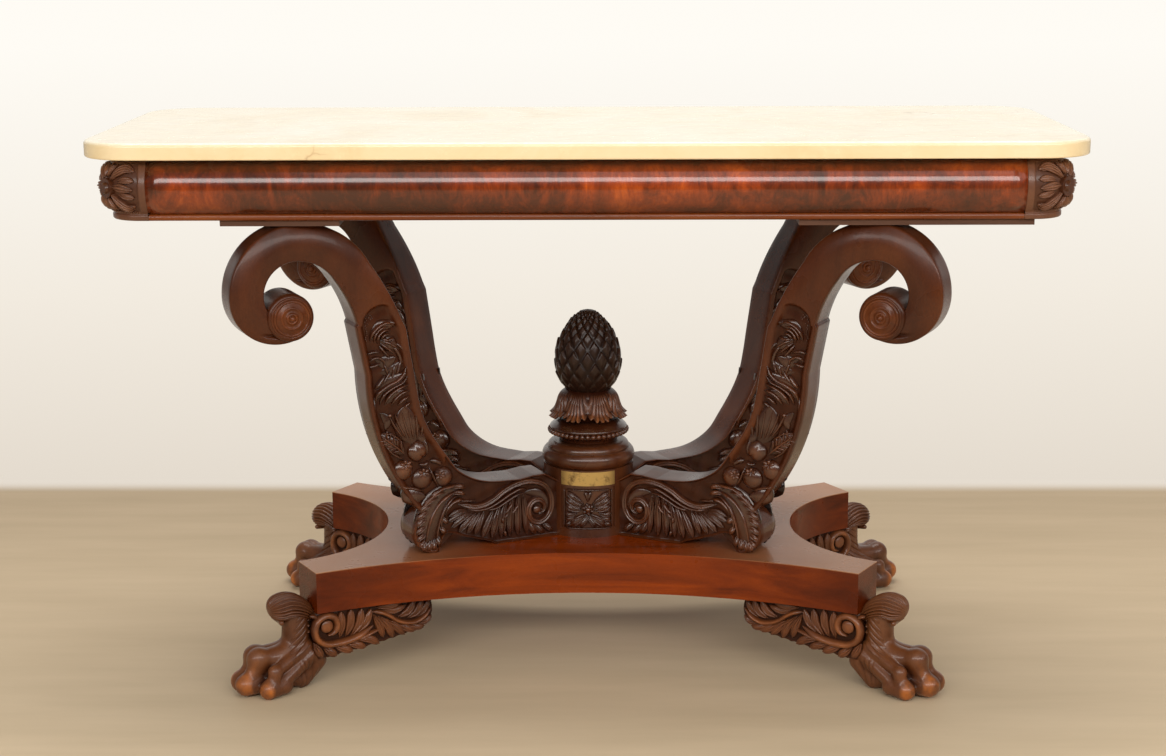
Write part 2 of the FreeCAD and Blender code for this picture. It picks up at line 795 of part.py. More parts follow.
def make_volute_bosses():
    """Turned ringed buttons on both faces of each scroll."""
    master = new_body("boss_master", part=False)
    sketch = new_sketch(master, "XZ_Plane")
    radius = S["boss_radius"]
    thick = S["boss_thick"]
    outline(sketch, [(0, 0), (radius, 0), (radius, thick * 0.5), (radius * 0.8, thick),
                     (radius * 0.66, thick * 0.5), (radius * 0.42, thick), (radius * 0.25, thick * 0.5),
                     (radius * 0.16, thick * 1.3), (0, thick * 1.3)])
    spin(master, "Revolution", sketch)
    places = []
    for corner in CORNERS:
        for face in (-1, 1):
            spot = Vector(eye_r.value, face * S["leg_thick"].value / 2, eye_z.value)
            outward = Rotation(Vector(0, 0, 1), Vector(0, face, 0))
            places.append(leg_place(corner).multiply(Placement(spot, outward)))
    group("volute_bosses", copies(master, places))


# ---------------------------------------------------------------- column

def drum_sector(inner, outer, side):
    """A curved strip at the front (side -1) or back (side 1) between two radii."""
    across = sine(S["panel_half_turn"])
    ahead = cosine(S["panel_half_turn"]) * side
    return [(-inner * across, inner * ahead), (-outer * across, outer * ahead, outer * -side),
            (outer * across, outer * ahead), (inner * across, inner * ahead, inner * side)]


def make_drum():
    """Turned drum with a brass plate and a sunk panel let in at front and back."""
    body = new_body("column_drum")
    sketch = new_sketch(body, "XZ_Plane")
    rectangle(sketch, rod_bore, drum, slab_top, drum_top)
    spin(body, "Revolution", sketch)
    bands = ((S["brass_low"], S["brass_high"], S["brass_thick"]),
             (S["panel_low"], S["panel_high"], S["panel_deep"]))
    for low, high, deep in bands:
        for side in (-1, 1):
            sketch = new_sketch(body, "XY_Plane", slab_top + low)
            outline(sketch, drum_sector(drum - deep, drum + deep, side))
            cut(body, sketch, high, True)
    start = drum - S["dowel_long"] / 2 - S["pilot_spare"]
    for corner, (sign_x, sign_y) in CORNERS.items():
        heading = Vector(leg_cosine.value * sign_x, leg_sine.value * sign_y, 0)
        for number, height in enumerate(dowel_heights):
            bore_along(body, f"{corner}{number}",
                       (start * leg_cosine * sign_x, start * leg_sine * sign_y, height), heading,
                       dowel_bore, S["dowel_long"])


def make_brass_plate(name, side):
    body = new_body(f"{name}_brass_plate")
    sketch = new_sketch(body, "XY_Plane", slab_top + S["brass_low"])
    outline(sketch, drum_sector(drum - S["brass_thick"], drum, side))
    extrude(body, "Pad", sketch, S["brass_high"])


def turned_piece(label, profile):
    body = new_body(label)
    sketch = new_sketch(body, "XZ_Plane")
    outline(sketch, profile)
    spin(body, "Revolution", sketch)


def make_column_stack():
    """Collar, beaded disc, leaf calyx and pineapple, each bored for the rod."""
    wide = S["collar_radius"]
    torus = S["collar_torus_high"]
    torus_out = torus / 4
    turned_piece("column_collar", [
        (rod_bore, drum_top), (wide - torus_out, drum_top, arc_radius(torus / 2, torus_out)),
        (wide - torus_out, drum_top + torus), (wide - torus_out * 1.5, drum_top + torus),
        (wide - torus_out * 1.5, drum_top + torus + 3, as_size(9)), (S["collar_top_radius"], collar_top),
        (rod_bore, collar_top)])
    rim = S["bead_disc_radius"]
    neck = S["neck_radius"]
    turned_piece("beaded_disc", [
        (rod_bore, collar_top), (neck, collar_top), (neck, collar_top + 4, as_size(-14)),
        (rim - 3, collar_top + 14), (rim, collar_top + 17), (rim, collar_top + 21),
        (rim - 4, disc_top - 2), (neck - 4, disc_top), (rod_bore, disc_top)])
    leaf = S["calyx_radius"]
    waist = S["calyx_neck_radius"]
    turned_piece("leaf_calyx", [
        (rod_bore, disc_top), (waist, disc_top), (waist, disc_top + 6),
        (leaf, disc_top + 8), (leaf, disc_top + 11, as_size(60)), (waist, calyx_top - 3),
        (waist, calyx_top), (rod_bore, calyx_top)])
    pine = S["pine_radius"]
    shoulder = S["pine_shoulder"]
    tip = 4
    turned_piece("pineapple", [
        (0, calyx_top + S["rod_tip"]), (rod_bore, calyx_top + S["rod_tip"]), (rod_bore, calyx_top),
        (S["pine_seat"], calyx_top, as_size(58)), (pine, calyx_top + S["pine_belly"], as_size(84)),
        (shoulder, pine_top - S["pine_cap"], arc_radius(shoulder, S["pine_cap"])),
        (tip, pine_top - 0.25), (tip, pine_top), (0, pine_top)])


def make_centre_rod():
    """Iron rod that pulls slab, drum, collar, disc and calyx up to the pineapple."""
    seat = slab_bottom + S["nut_recess"]
    nut_low = seat - S["washer_thick"] - S["nut_high"]
    turned_piece("centre_rod", [
        (0, nut_low), (S["rod_radius"], nut_low),
        (S["rod_radius"], calyx_top + S["rod_tip"] - S["joint_gap"]),
        (0, calyx_top + S["rod_tip"] - S["joint_gap"])])
    turned_piece("rod_washer", [
        (rod_bore, seat - S["washer_thick"]), (S["nut_recess_radius"] - 4, seat - S["washer_thick"]),
        (S["nut_recess_radius"] - 4, seat), (rod_bore, seat)])
    body = new_body("rod_nut")
    sketch = new_sketch(body, "XY_Plane", nut_low)
    reach = S["rod_radius"] * 1.9
    outline(sketch, [(reach * cosine(as_size(60 * side)), reach * sine(as_size(60 * side)))
                     for side in range(6)])
    extrude(body, "Pad", sketch, S["nut_high"])
    holes(body, [(0, 0)], rod_bore, nut_low, S["nut_high"])


# ---------------------------------------------------------------- plinth slab

def make_slab():
    """Flat slab with hollowed sides and clipped corners, bored for the rod and the screws."""
    body = new_body("plinth_slab")
    long = slab_half_length
    deep = slab_half_depth
    near_x = long - S["clip_long"]
    near_y = deep - S["clip_deep"]
    front_bend = -arc_radius(near_x, S["front_hollow"])
    side_bend = -arc_radius(near_y, S["side_hollow"])
    sketch = new_sketch(body, "XY_Plane", slab_bottom)
    outline(sketch, [
        (-near_x, -deep, front_bend), (near_x, -deep),
        (long, -near_y, side_bend), (long, near_y),
        (near_x, deep, front_bend), (-near_x, deep),
        (-long, near_y, side_bend), (-long, -near_y),
    ])
    extrude(body, "Pad", sketch, S["slab_thick"])
    holes(body, [(0, 0)], rod_bore, slab_bottom, S["slab_thick"])
    holes(body, [(0, 0)], S["nut_recess_radius"], slab_bottom, S["nut_recess"])
    leg_spots = [(reach * leg_cosine * sign_x, reach * leg_sine * sign_y)
                 for sign_x, sign_y in CORNERS.values() for reach in leg_screw_reaches]
    holes(body, leg_spots, pilot_radius, slab_bottom, S["slab_thick"])
    holes(body, leg_spots, head_radius, slab_bottom, S["leg_screw_sink"])
    foot_spots = []
    for sign_x, sign_y in CORNERS.values():
        for inward in bracket_screw_reaches:
            foot_spots.append(((clip_mid_x - inward * clip_cosine) * sign_x,
                               (clip_mid_y - inward * clip_sine) * sign_y))
    holes(body, foot_spots, pilot_radius, slab_bottom,
          S["bracket_screw_long"] - S["bracket_screw_low"] + S["pilot_spare"])


# ---------------------------------------------------------------- feet

def foot_place(corner):
    """The foot's own frame: +X out through the middle of the clipped corner, Z from the floor."""
    sign_x, sign_y = CORNERS[corner]
    return turned(corner_turn(sign_x, sign_y, clip_angle),
                  sign_x * clip_mid_x.value, sign_y * clip_mid_y.value)


def make_toe(body, offset):
    """One toe, a rounded tip on the floor under a knuckle; the outer two stand back and lower."""
    inner = abs(offset) < 1
    tip = S["toe_reach"] if inner else S["toe_reach"] - S["toe_set_back"]
    lift = S["inner_knuckle_lift"] if inner else S["outer_knuckle_lift"]
    round_tip = S["toe_radius"]
    knuckle = tip - S["knuckle_back"]
    across = S["toe_pitch"] * offset
    side = new_sketch(body, "XZ_Plane", -(across + S["toe_wide"] / 2))
    outline(side, [
        (tip - S["toe_long"], 0), (tip - round_tip, 0, round_tip), (tip, round_tip, round_tip),
        (tip - round_tip, round_tip * 2), (knuckle + S["knuckle_radius"], lift, S["knuckle_radius"]),
        (knuckle, lift + S["knuckle_radius"]), (tip - S["toe_long"], lift)])
    extrude(body, "Pad", side, S["toe_wide"])


def make_foot(corner):
    """Lion's paw: narrow shank, wide curled leaf knee against the slab's corner, palm and toes."""
    body = new_body(f"{corner}_paw_foot", foot_place(corner))
    gap = S["joint_gap"]
    heel = heel_top - gap
    knee = slab_bottom + S["knob_high"]
    neck = slab_bottom - S["neck_low"]
    shank = new_sketch(body, "XZ_Plane", -(S["shank_wide"] / 2))
    outline(shank, [
        (-S["sole_back"], 0), (S["sole_front"], 0), (S["sole_front"] + 2, S["instep_high"] - 20),
        (S["instep_out"], S["instep_high"], as_size(-46)), (S["ankle_out"], neck),
        (S["ankle_out"], slab_bottom), (gap, slab_bottom), (gap, heel), (-S["heel_out"], heel),
        (-S["sole_back"] - 4, 20)])
    extrude(body, "Pad", shank, S["shank_wide"])
    knob = new_sketch(body, "XZ_Plane", -(S["foot_wide"] / 2))
    outline(knob, [
        (gap, neck), (S["ankle_out"], neck), (S["ankle_out"] + 8, slab_bottom - 5, as_size(18)),
        (S["knob_out"], knee - 18, as_size(22)), (S["knob_out"] - 21, knee, as_size(42)),
        (gap, knee - 8)])
    extrude(body, "Pad", knob, S["foot_wide"])
    palm = new_sketch(body, "XZ_Plane", -(S["palm_wide"] / 2))
    outline(palm, [
        (S["palm_back"], 0), (S["palm_front"], 0), (S["palm_front"], S["palm_high"]),
        (S["palm_back"] + 10, S["palm_high"]), (S["palm_back"], S["palm_high"] - 10)])
    extrude(body, "Pad", palm, S["palm_wide"])
    for offset in (-1.5, -0.5, 0.5, 1.5):
        make_toe(body, offset)
    bore_along(body, "dowel", (0, 0, foot_dowel_z), Vector(1, 0, 0), dowel_bore,
               S["dowel_long"] / 2 + S["pilot_spare"])


def make_bracket(corner):
    """Carved wing under the slab, from the paw inwards."""
    body = new_body(f"{corner}_foot_bracket", foot_place(corner))
    side = new_sketch(body, "XZ_Plane", -(S["bracket_thick"] / 2))
    long = S["bracket_long"]
    deep = S["bracket_deep"]
    gap = S["joint_gap"]
    outline(side, [
        (-gap, slab_bottom), (-long, slab_bottom), (-long, slab_bottom - S["bracket_tip"]),
        (-long * 0.76, slab_bottom - deep * 0.7), (-long * 0.4, slab_bottom - deep * 0.85),
        (-S["heel_out"] - 2, heel_top), (-gap, heel_top)])
    extrude(body, "Pad", side, S["bracket_thick"])
    spots = [(-inward, 0) for inward in bracket_screw_reaches]
    holes(body, spots, pilot_radius, slab_bottom, deep, upward=False)
    head_top = slab_bottom - S["bracket_screw_low"] + S["screw_head_high"]
    holes(body, spots, head_radius, head_top, deep, upward=False)
    bore_along(body, "dowel", (0, 0, foot_dowel_z), Vector(-1, 0, 0), dowel_bore,
               S["dowel_long"] / 2 + S["pilot_spare"])


# ---------------------------------------------------------------- fasteners

def screw_master(name, length):
    """Flat-headed wood screw, point up, head at its origin."""
    master = new_body(name, part=False)
    sketch = new_sketch(master, "XZ_Plane")
    outline(sketch, [
        (0, 0), (S["screw_head_radius"], 0), (S["screw_radius"], S["screw_head_high"]),
        (S["screw_radius"], length - S["screw_point"]), (0, length)])
    spin(master, "Revolution", sketch)
    return master


def make_screws():
    up = Rotation()
    down = Rotation(Vector(1, 0, 0), 180)
    head = S["screw_head_high"].value
    leg = screw_master("leg_screw_master", S["leg_screw_long"])
    seat = (slab_bottom + S["leg_screw_sink"]).value - head
    group("leg_base_screws", copies(leg, [
        Placement(leg_place(corner).multVec(Vector(reach.value, 0, seat)), up)
        for corner in CORNERS for reach in leg_screw_reaches]))
    top = screw_master("top_screw_master", S["top_screw_long"])
    group("leg_top_screws", copies(top, [
        Placement(Vector(leg_top_x.value * sign_x, top_screw_y.value * sign_y, cross_rail_top.value), down)
        for sign_x, sign_y in CORNERS.values()]))
    cleat = screw_master("cleat_screw_master", S["cleat_screw_long"])
    group("cleat_screws", copies(cleat, [
        Placement(Vector(x.value, y.value, leg_top.value), up)
        for corner in CORNERS for x, y in cleat_screw_places(corner)]))
    bracket = screw_master("bracket_screw_master", S["bracket_screw_long"])
    low = (slab_bottom - S["bracket_screw_low"]).value
    group("bracket_screws", copies(bracket, [
        Placement(foot_place(corner).multVec(Vector(-inward.value, 0, low)), up)
        for corner in CORNERS for inward in bracket_screw_reaches]))


def make_dowels():
    length = S["dowel_long"].value
    radius = S["dowel_radius"].value
    legs = []
    for corner in CORNERS:
        heading = leg_place(corner).multVec(Vector(1, 0, 0))
        for height in dowel_heights:
            start = heading * (drum.value - length / 2) + Vector(0, 0, height.value)
            legs.append(Part.makeCylinder(radius, length, start, heading))
    group("leg_dowels", legs)
    feet = []
    for corner in CORNERS:
        place = foot_place(corner)
        start = place.multVec(Vector(-length / 2, 0, foot_dowel_z.value))
        heading = place.Rotation.multVec(Vector(1, 0, 0))
        feet.append(Part.makeCylinder(radius, length, start, heading))
    group("foot_dowels", feet)


# ---------------------------------------------------------------- build, check, write

def build():
    make_marble()
    for side in SIDES:
        make_rail(side)
        make_moulding(f"{side}_apron_torus", side, torus_profile)
        make_moulding(f"{side}_apron_fillet", side, fillet_profile)
        make_moulding(f"{side}_apron_bead", side, bead_profile)
    for corner in CORNERS:
        make_corner_block(corner)
    make_rosettes()
    make_cross_rail("left", -1)
    make_cross_rail("right", 1)
    make_glue_blocks()
    for corner in CORNERS:
        make_cleat(corner)
        make_leg(corner)
    make_volute_bosses()
    make_drum()
    make_brass_plate("front", -1)
    make_brass_plate("back", 1)
    make_column_stack()
    make_centre_rod()
    make_slab()
    for corner in CORNERS:
        make_foot(corner)
        make_bracket(corner)
    make_screws()
    make_dowels()
    doc.recompute()


def check_document():
    for item in doc.Objects:
        if "Invalid" in item.State or "Error" in item.State:
            raise RuntimeError(f"{item.Label}: {item.State}")
    for item in PARTS:
        if item.Shape.isNull() or not item.Shape.isValid() or not item.Shape.Solids:
            raise RuntimeError(f"{item.Label}: no valid solid")


def write_parts():
    os.makedirs("parts", exist_ok=True)
    for item in PARTS:
        item.Shape.exportStep(f"parts/{item.Label}.step")
        box = item.Shape.BoundBox
        print(f"{item.Label}: {len(item.Shape.Solids)} solid, "
              f"x {box.XMin:.1f}..{box.XMax:.1f}, y {box.YMin:.1f}..{box.YMax:.1f}, "
              f"z {box.ZMin:.1f}..{box.ZMax:.1f}")


build()
check_document()
write_parts()
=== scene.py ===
# %% [markdown]
# A pier table is a long side table. This one is mahogany with a marble top, four scrolled legs
# round a turned column, a shaped plinth slab and four paw feet. The construction model holds
# every board, dowel and screw in its true place. This script keeps the plain boards, lays finer
# skins over the carved and moulded parts, and paints everything with procedural finishes.
# %% Load the construction model
import math

import bpy
import numpy as np
from mathutils import Matrix


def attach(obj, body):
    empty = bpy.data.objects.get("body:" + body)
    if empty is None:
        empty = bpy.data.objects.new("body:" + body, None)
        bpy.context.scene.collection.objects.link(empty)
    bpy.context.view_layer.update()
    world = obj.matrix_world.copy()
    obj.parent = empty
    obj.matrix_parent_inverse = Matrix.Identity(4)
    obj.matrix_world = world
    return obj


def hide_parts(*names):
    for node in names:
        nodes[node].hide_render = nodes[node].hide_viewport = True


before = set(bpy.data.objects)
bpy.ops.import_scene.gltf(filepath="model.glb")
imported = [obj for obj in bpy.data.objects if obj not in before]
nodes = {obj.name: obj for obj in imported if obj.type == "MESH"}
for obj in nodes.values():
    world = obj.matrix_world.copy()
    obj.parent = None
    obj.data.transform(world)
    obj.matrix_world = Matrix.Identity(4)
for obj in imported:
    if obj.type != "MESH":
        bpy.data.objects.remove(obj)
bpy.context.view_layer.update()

# %% [markdown]
# Numbers below are millimetres, because a joiner thinks in them. Blender works in metres, so one
# function turns finished points into a mesh and scales them on the way. It also merges points that
# lie on each other, which closes seams and poles, and turns every skin to face outward.
# %% Points and faces into a mesh object
MM = 0.001


def weld(points, faces):
    """Merge equal points. Faces keep their order; a quad that lost a corner becomes a triangle."""
    _, first, where = np.unique(np.round(points, 4), axis=0, return_index=True,
                                return_inverse=True)
    faces = where.reshape(-1)[faces]
    same = faces == np.roll(faces, -1, axis=1)
    quads = faces[same.sum(axis=1) == 0]
    one = same.sum(axis=1) == 1
    triangles = faces[one][~same[one]].reshape(-1, 3)
    return first, quads, triangles


def volume(points, quads, triangles):
    """Sum of a . (b x c) / 6 over the triangles of a closed skin."""
    all_three = np.concatenate([quads[:, [0, 1, 2]], quads[:, [0, 2, 3]], triangles])
    a, b, c = (points[all_three[:, k]] for k in range(3))
    return float(np.einsum("ij,ij->i", a, np.cross(b, c)).sum() / 6)


def piece(name, skins, finish, stands_for=()):
    """Join skins (points, quads, height) into one object that rides on the table."""
    all_points, all_quads, all_triangles, all_heights, count = [], [], [], [], 0
    for points, faces, height in skins:
        first, quads, triangles = weld(points, faces)
        kept = points[first]
        if volume(kept, quads, triangles) < 0:
            quads, triangles = quads[:, ::-1], triangles[:, ::-1]
        all_points.append(kept)
        all_heights.append(np.broadcast_to(height, len(points))[first])
        all_quads.append(quads + count)
        all_triangles.append(triangles + count)
        count += len(kept)
    points = np.concatenate(all_points) * MM
    quads, triangles = np.concatenate(all_quads), np.concatenate(all_triangles)
    mesh = bpy.data.meshes.new(name)
    mesh.vertices.add(len(points))
    mesh.vertices.foreach_set("co", points.astype(np.float32).ravel())
    corners = np.concatenate([quads.ravel(), triangles.ravel()]).astype(np.int32)
    mesh.loops.add(len(corners))
    mesh.loops.foreach_set("vertex_index", corners)
    starts = np.concatenate([np.arange(len(quads)) * 4,
                             len(quads) * 4 + np.arange(len(triangles)) * 3])
    mesh.polygons.add(len(starts))
    mesh.polygons.foreach_set("loop_start", starts.astype(np.int32))
    mesh.polygons.foreach_set("use_smooth", np.full(len(starts), True))
    mesh.update(calc_edges=True)
    mesh.validate()
    heights = mesh.attributes.new("height", "FLOAT", "POINT")
    heights.data.foreach_set("value", np.concatenate(all_heights).astype(np.float32))
    thing = bpy.data.objects.new(name, mesh)
    bpy.context.scene.collection.objects.link(thing)
    mesh.materials.append(finish)
    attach(thing, "root")
    if stands_for:
        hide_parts(*stands_for)
    print(name, "points", len(points), "faces", len(starts))


# %% [markdown]
# Most skins here are grids: one parameter runs along a path and one runs round a profile. The grid
# may close on itself in either direction. A turned part is the simplest case: a profile of
# (radius, height) points spun round the column's axis.
# %% Grids of points
def grid_faces(rows, columns, wrap_rows=False, wrap_columns=False):
    """Quads (i, j), (i+1, j), (i+1, j+1), (i, j+1) of a grid of rows x columns points."""
    i, j = np.meshgrid(np.arange(rows if wrap_rows else rows - 1),
                       np.arange(columns if wrap_columns else columns - 1), indexing="ij")
    k, m = (i + 1) % rows, (j + 1) % columns
    return np.stack([i * columns + j, k * columns + j, k * columns + m, i * columns + m],
                    axis=-1).reshape(-1, 4)


def skin(points, height=0.0, wrap_rows=False, wrap_columns=False):
    rows, columns = points.shape[:2]
    height = np.broadcast_to(height, (rows, columns)).reshape(-1)
    return points.reshape(-1, 3), grid_faces(rows, columns, wrap_rows, wrap_columns), height


def spun(profile, turns):
    """Profile (radius, z) spun about Z: x = radius cos(a), y = radius sin(a)."""
    angle = np.linspace(0, 2 * np.pi, turns, endpoint=False)
    radius, z = np.asarray(profile, float).T
    return np.stack([radius[:, None] * np.cos(angle), radius[:, None] * np.sin(angle),
                     np.broadcast_to(z[:, None], (len(z), turns))], axis=-1)


def arc(start, stop, bend, steps=12):
    """Points from start to stop on a circle of radius |bend|; plus turns left, minus turns right."""
    start, stop = np.asarray(start, float), np.asarray(stop, float)
    chord = stop - start
    length = np.hypot(*chord)
    left = np.array([-chord[1], chord[0]]) / length
    depth = math.sqrt(max(bend * bend - length * length / 4, 0))
    centre = (start + stop) / 2 + left * math.copysign(depth, bend)
    first = math.atan2(*(start - centre)[::-1])
    turn = 2 * math.asin(min(length / 2 / abs(bend), 1)) * math.copysign(1, bend)
    angle = first + np.linspace(0, turn, steps + 1)
    return centre + abs(bend) * np.stack([np.cos(angle), np.sin(angle)], axis=-1)


def path(*pieces):
    """Join runs of points end to end, without repeating the shared ends."""
    runs = [np.asarray(run, float).reshape(-1, 2) for run in pieces]
    kept = [runs[0]]
    for run in runs[1:]:
        kept.append(run[1:] if np.allclose(run[0], kept[-1][-1], atol=1e-3) else run)
    return np.concatenate(kept)


def even(points, count):
    """The same line in count points, evenly spaced along its length."""
    step = np.linalg.norm(np.diff(points, axis=0), axis=1)
    along = np.concatenate([[0], np.cumsum(step)])
    if along[-1] == 0:
        return np.repeat(points[:1], count, axis=0)
    want = np.linspace(0, along[-1], count)
    return np.stack([np.interp(want, along, points[:, k]) for k in range(points.shape[1])], axis=-1)


def ease(value, low, high):
    """0 below low, 1 above high, 3t^2 - 2t^3 between."""
    t = np.clip((value - low) / (high - low), 0, 1)
    return t * t * (3 - 2 * t)

# %% [markdown]
# A finish is a small network of shader nodes. Helpers keep the networks readable: one adds a node
# and fills or links its sockets by name, and the others add a ramp, a mix, a sum or a range with
# it. Patterns read Object coordinates, in metres, so the figure of the wood keeps its true size.
# %% Helpers for finishes
def start_finish(name, roughness=0.4, **shader_values):
    material = bpy.data.materials.new(name)
    material.use_nodes = True
    tree = material.node_tree
    shader = tree.nodes["Principled BSDF"]
    shader.inputs["Roughness"].default_value = roughness
    for socket, value in shader_values.items():
        shader.inputs[socket.replace("_", " ")].default_value = value
    return material, tree, shader


def add(tree, kind, settings=None, **sockets):
    """Add a node. A socket is named by its label, with spaces as _, or as in0, in1 by place."""
    node = tree.nodes.new(f"ShaderNode{kind}")
    for key, value in (settings or {}).items():
        setattr(node, key, value)
    for name, value in sockets.items():
        socket = node.inputs[int(name[2:]) if name[:2] == "in" and name[2:].isdigit()
                             else name.replace("_", " ")]
        if isinstance(value, bpy.types.NodeSocket):
            tree.links.new(value, socket)
        else:
            socket.default_value = value
    return node


def ramp(tree, factor, stops):
    """Colours at places along 0..1; a colour is (red, green, blue) in linear light."""
    node = add(tree, "ValToRGB", Fac=factor)
    elements = node.color_ramp.elements
    while len(elements) < len(stops):
        elements.new(0.5)
    for element, (place, colour) in zip(elements, stops):
        element.position = place
        element.color = (*colour, 1) if isinstance(colour, tuple) else (colour,) * 3 + (1,)
    return node.outputs["Color"]


def mix(tree, factor, first, second, blend="MIX"):
    """first where factor is 0, second where it is 1; colours or plain tuples."""
    node = add(tree, "Mix", {"data_type": "RGBA", "blend_type": blend}, in0=factor)
    for socket, value in ((6, first), (7, second)):
        if isinstance(value, bpy.types.NodeSocket):
            tree.links.new(value, node.inputs[socket])
        else:
            node.inputs[socket].default_value = (*value, 1)
    return node.outputs[2]


def math_node(tree, operation, first, second=0.0, third=0.0):
    return add(tree, "Math", {"operation": operation}, in0=first, in1=second, in2=third).outputs[0]


def span(tree, value, low, high, first=0.0, last=1.0, kind="LINEAR"):
    """first where value is at low or beyond, last where it is at high or beyond."""
    return add(tree, "MapRange", {"interpolation_type": kind}, Value=value, in1=low, in2=high,
               in3=first, in4=last).outputs[0]


def place(tree, scale=(1, 1, 1), turn=(0, 0, 0), shift=(0, 0, 0)):
    """Object coordinates in metres, stretched, turned or shifted."""
    coordinates = add(tree, "TexCoord").outputs["Object"]
    return add(tree, "Mapping", Vector=coordinates, Scale=scale, Rotation=turn,
               Location=shift).outputs["Vector"]


def noise(tree, vector, scale, detail=4.0, roughness=0.55, distortion=0.0):
    return add(tree, "TexNoise", Vector=vector, Scale=scale, Detail=detail, Roughness=roughness,
               Distortion=distortion).outputs[0]


def bump(tree, shader, height, strength, distance):
    node = add(tree, "Bump", Height=height, Strength=strength, Distance=distance)
    tree.links.new(node.outputs["Normal"], shader.inputs["Normal"])


# %% [markdown]
# Old mahogany is red-brown with fine pores along the grain and a thin glossy varnish. Carving is
# painted darker in its hollows, as painted shade, and lighter on its rubbed tops. Carved skins
# carry a height attribute from 0 in the ground to 1 on the tops, and the finish reads it. The slab's
# sides are painted darker toward their ends as painted shade, and its open top is painted paler
# there as a painted reflection of the bright backdrop.
# %% Mahogany finishes
BELOW_SLAB_TOP, AT_SLAB_TOP = 0.1655, 0.1666


def mahogany(name, deep, middle, light, grain=(1, 1, 12), carved=False, rough=(0.3, 0.5),
             figure=1.0, coat=0.15, rubbed_colour=None, shine=0.38, painted_end_shade_and_glare=False):
    """grain stretches the pattern: the larger number is across the fibres."""
    material, tree, shader = start_finish(name, Coat_Weight=coat, Coat_Roughness=0.14,
                                          Specular_IOR_Level=shine)
    where = place(tree, scale=grain)
    broad = noise(tree, where, 3.2 * figure, 5, 0.6, 1.2)
    fibres = noise(tree, place(tree, scale=tuple(8 * g for g in grain)), 26, 6, 0.7, 0.3)
    blend = math_node(tree, "ADD", math_node(tree, "MULTIPLY", broad, 0.72),
                      math_node(tree, "MULTIPLY", fibres, 0.3))
    colour = ramp(tree, blend, [(0.32, deep), (0.52, middle), (0.74, light)])
    if carved:
        height = add(tree, "Attribute", {"attribute_name": "height"}).outputs["Fac"]
        # Painted shade: low parts of the carving, by their height attribute, are painted darker.
        painted_hollow_shade = ramp(tree, height, [(0.0, 0.0), (0.5, 0.8), (1.0, 1.0)])
        colour = mix(tree, painted_hollow_shade, (0.45 * deep[0], 0.34 * deep[1], 0.3 * deep[2]), colour)
        rubbed = math_node(tree, "MULTIPLY", ramp(tree, height, [(0.72, 0.0), (1.0, 1.0)]),
                           ramp(tree, noise(tree, place(tree), 45, 3), [(0.4, 0.1), (0.7, 0.8)]))
        colour = mix(tree, rubbed, colour, rubbed_colour or tuple(1.5 * c for c in light))
        tree.links.new(ramp(tree, height, [(0.05, 0.10), (0.6, shine)]),
                       shader.inputs["Specular IOR Level"])
    if painted_end_shade_and_glare:
        # Painted shade and painted reflection: the slab's sides are painted darker toward the ends, and its
        # top face is painted paler there.
        spot = add(tree, "SeparateXYZ", Vector=place(tree))
        aside = math_node(tree, "ABSOLUTE", spot.outputs["X"])
        ends = ramp(tree, math_node(tree, "MULTIPLY", aside, 2.0), [(0.22, 0.0), (0.72, 1.0)])
        upper = span(tree, spot.outputs["Z"], BELOW_SLAB_TOP, AT_SLAB_TOP)
        colour = mix(tree, ends, colour, (0.46, 0.42, 0.34), "MULTIPLY")
        colour = mix(tree, math_node(tree, "MULTIPLY", ends, upper), colour, (0.40, 0.185, 0.085))
    tree.links.new(colour, shader.inputs["Base Color"])
    smears = noise(tree, place(tree), 9, 4, 0.6)
    low, high = rough
    tree.links.new(ramp(tree, smears, [(0.35, low), (0.65, high)]), shader.inputs["Roughness"])
    bump(tree, shader, fibres, 0.25, 0.0006)
    return material


carved_mahogany = mahogany("carved_mahogany", (0.022, 0.0056, 0.0020), (0.054, 0.0136, 0.0042),
                           (0.102, 0.028, 0.0075), grain=(2, 2, 1), carved=True,
                           rough=(0.2, 0.34), coat=0.5, shine=0.5)
dark_mahogany = mahogany("dark_mahogany", (0.014, 0.0045, 0.0018), (0.031, 0.0098, 0.0038),
                         (0.056, 0.018, 0.0065), grain=(2, 2, 1), carved=True, coat=0.15, shine=0.3)
board_mahogany = mahogany("board_mahogany", (0.034, 0.0080, 0.0026), (0.082, 0.0195, 0.0050),
                          (0.150, 0.038, 0.008), grain=(2.5, 2.5, 1), carved=True,
                          rough=(0.24, 0.38), coat=0.16, shine=0.24)
turned_mahogany = mahogany("turned_mahogany", (0.032, 0.009, 0.003), (0.076, 0.021, 0.0065),
                           (0.135, 0.040, 0.011), grain=(3, 3, 1), rough=(0.24, 0.38), coat=0.3)
worn_mahogany = mahogany("worn_mahogany", (0.060, 0.018, 0.006), (0.140, 0.044, 0.014),
                         (0.210, 0.075, 0.024), grain=(2, 2, 1), carved=True, coat=0.25,
                         rubbed_colour=(0.52, 0.15, 0.022))
bracket_mahogany = mahogany("bracket_mahogany", (0.050, 0.014, 0.005), (0.125, 0.038, 0.012),
                            (0.205, 0.066, 0.022), grain=(2, 2, 1), carved=True, coat=0.25,
                            rubbed_colour=(0.32, 0.10, 0.026))
block_mahogany = mahogany("block_mahogany", (0.072, 0.025, 0.012), (0.155, 0.057, 0.026),
                          (0.240, 0.100, 0.048), grain=(2, 2, 1), carved=True, coat=0.3)
slab_mahogany = mahogany("slab_mahogany", (0.100, 0.014, 0.001), (0.215, 0.030, 0.001),
                         (0.350, 0.056, 0.002), grain=(0.7, 6, 9), rough=(0.24, 0.38), coat=0.30,
                         figure=1.2, shine=0.12, painted_end_shade_and_glare=True)
bead_mahogany = mahogany("bead_mahogany", (0.075, 0.016, 0.003), (0.165, 0.035, 0.005),
                         (0.260, 0.066, 0.009), grain=(1, 9, 9), rough=(0.22, 0.34), coat=0.30, shine=0.3)
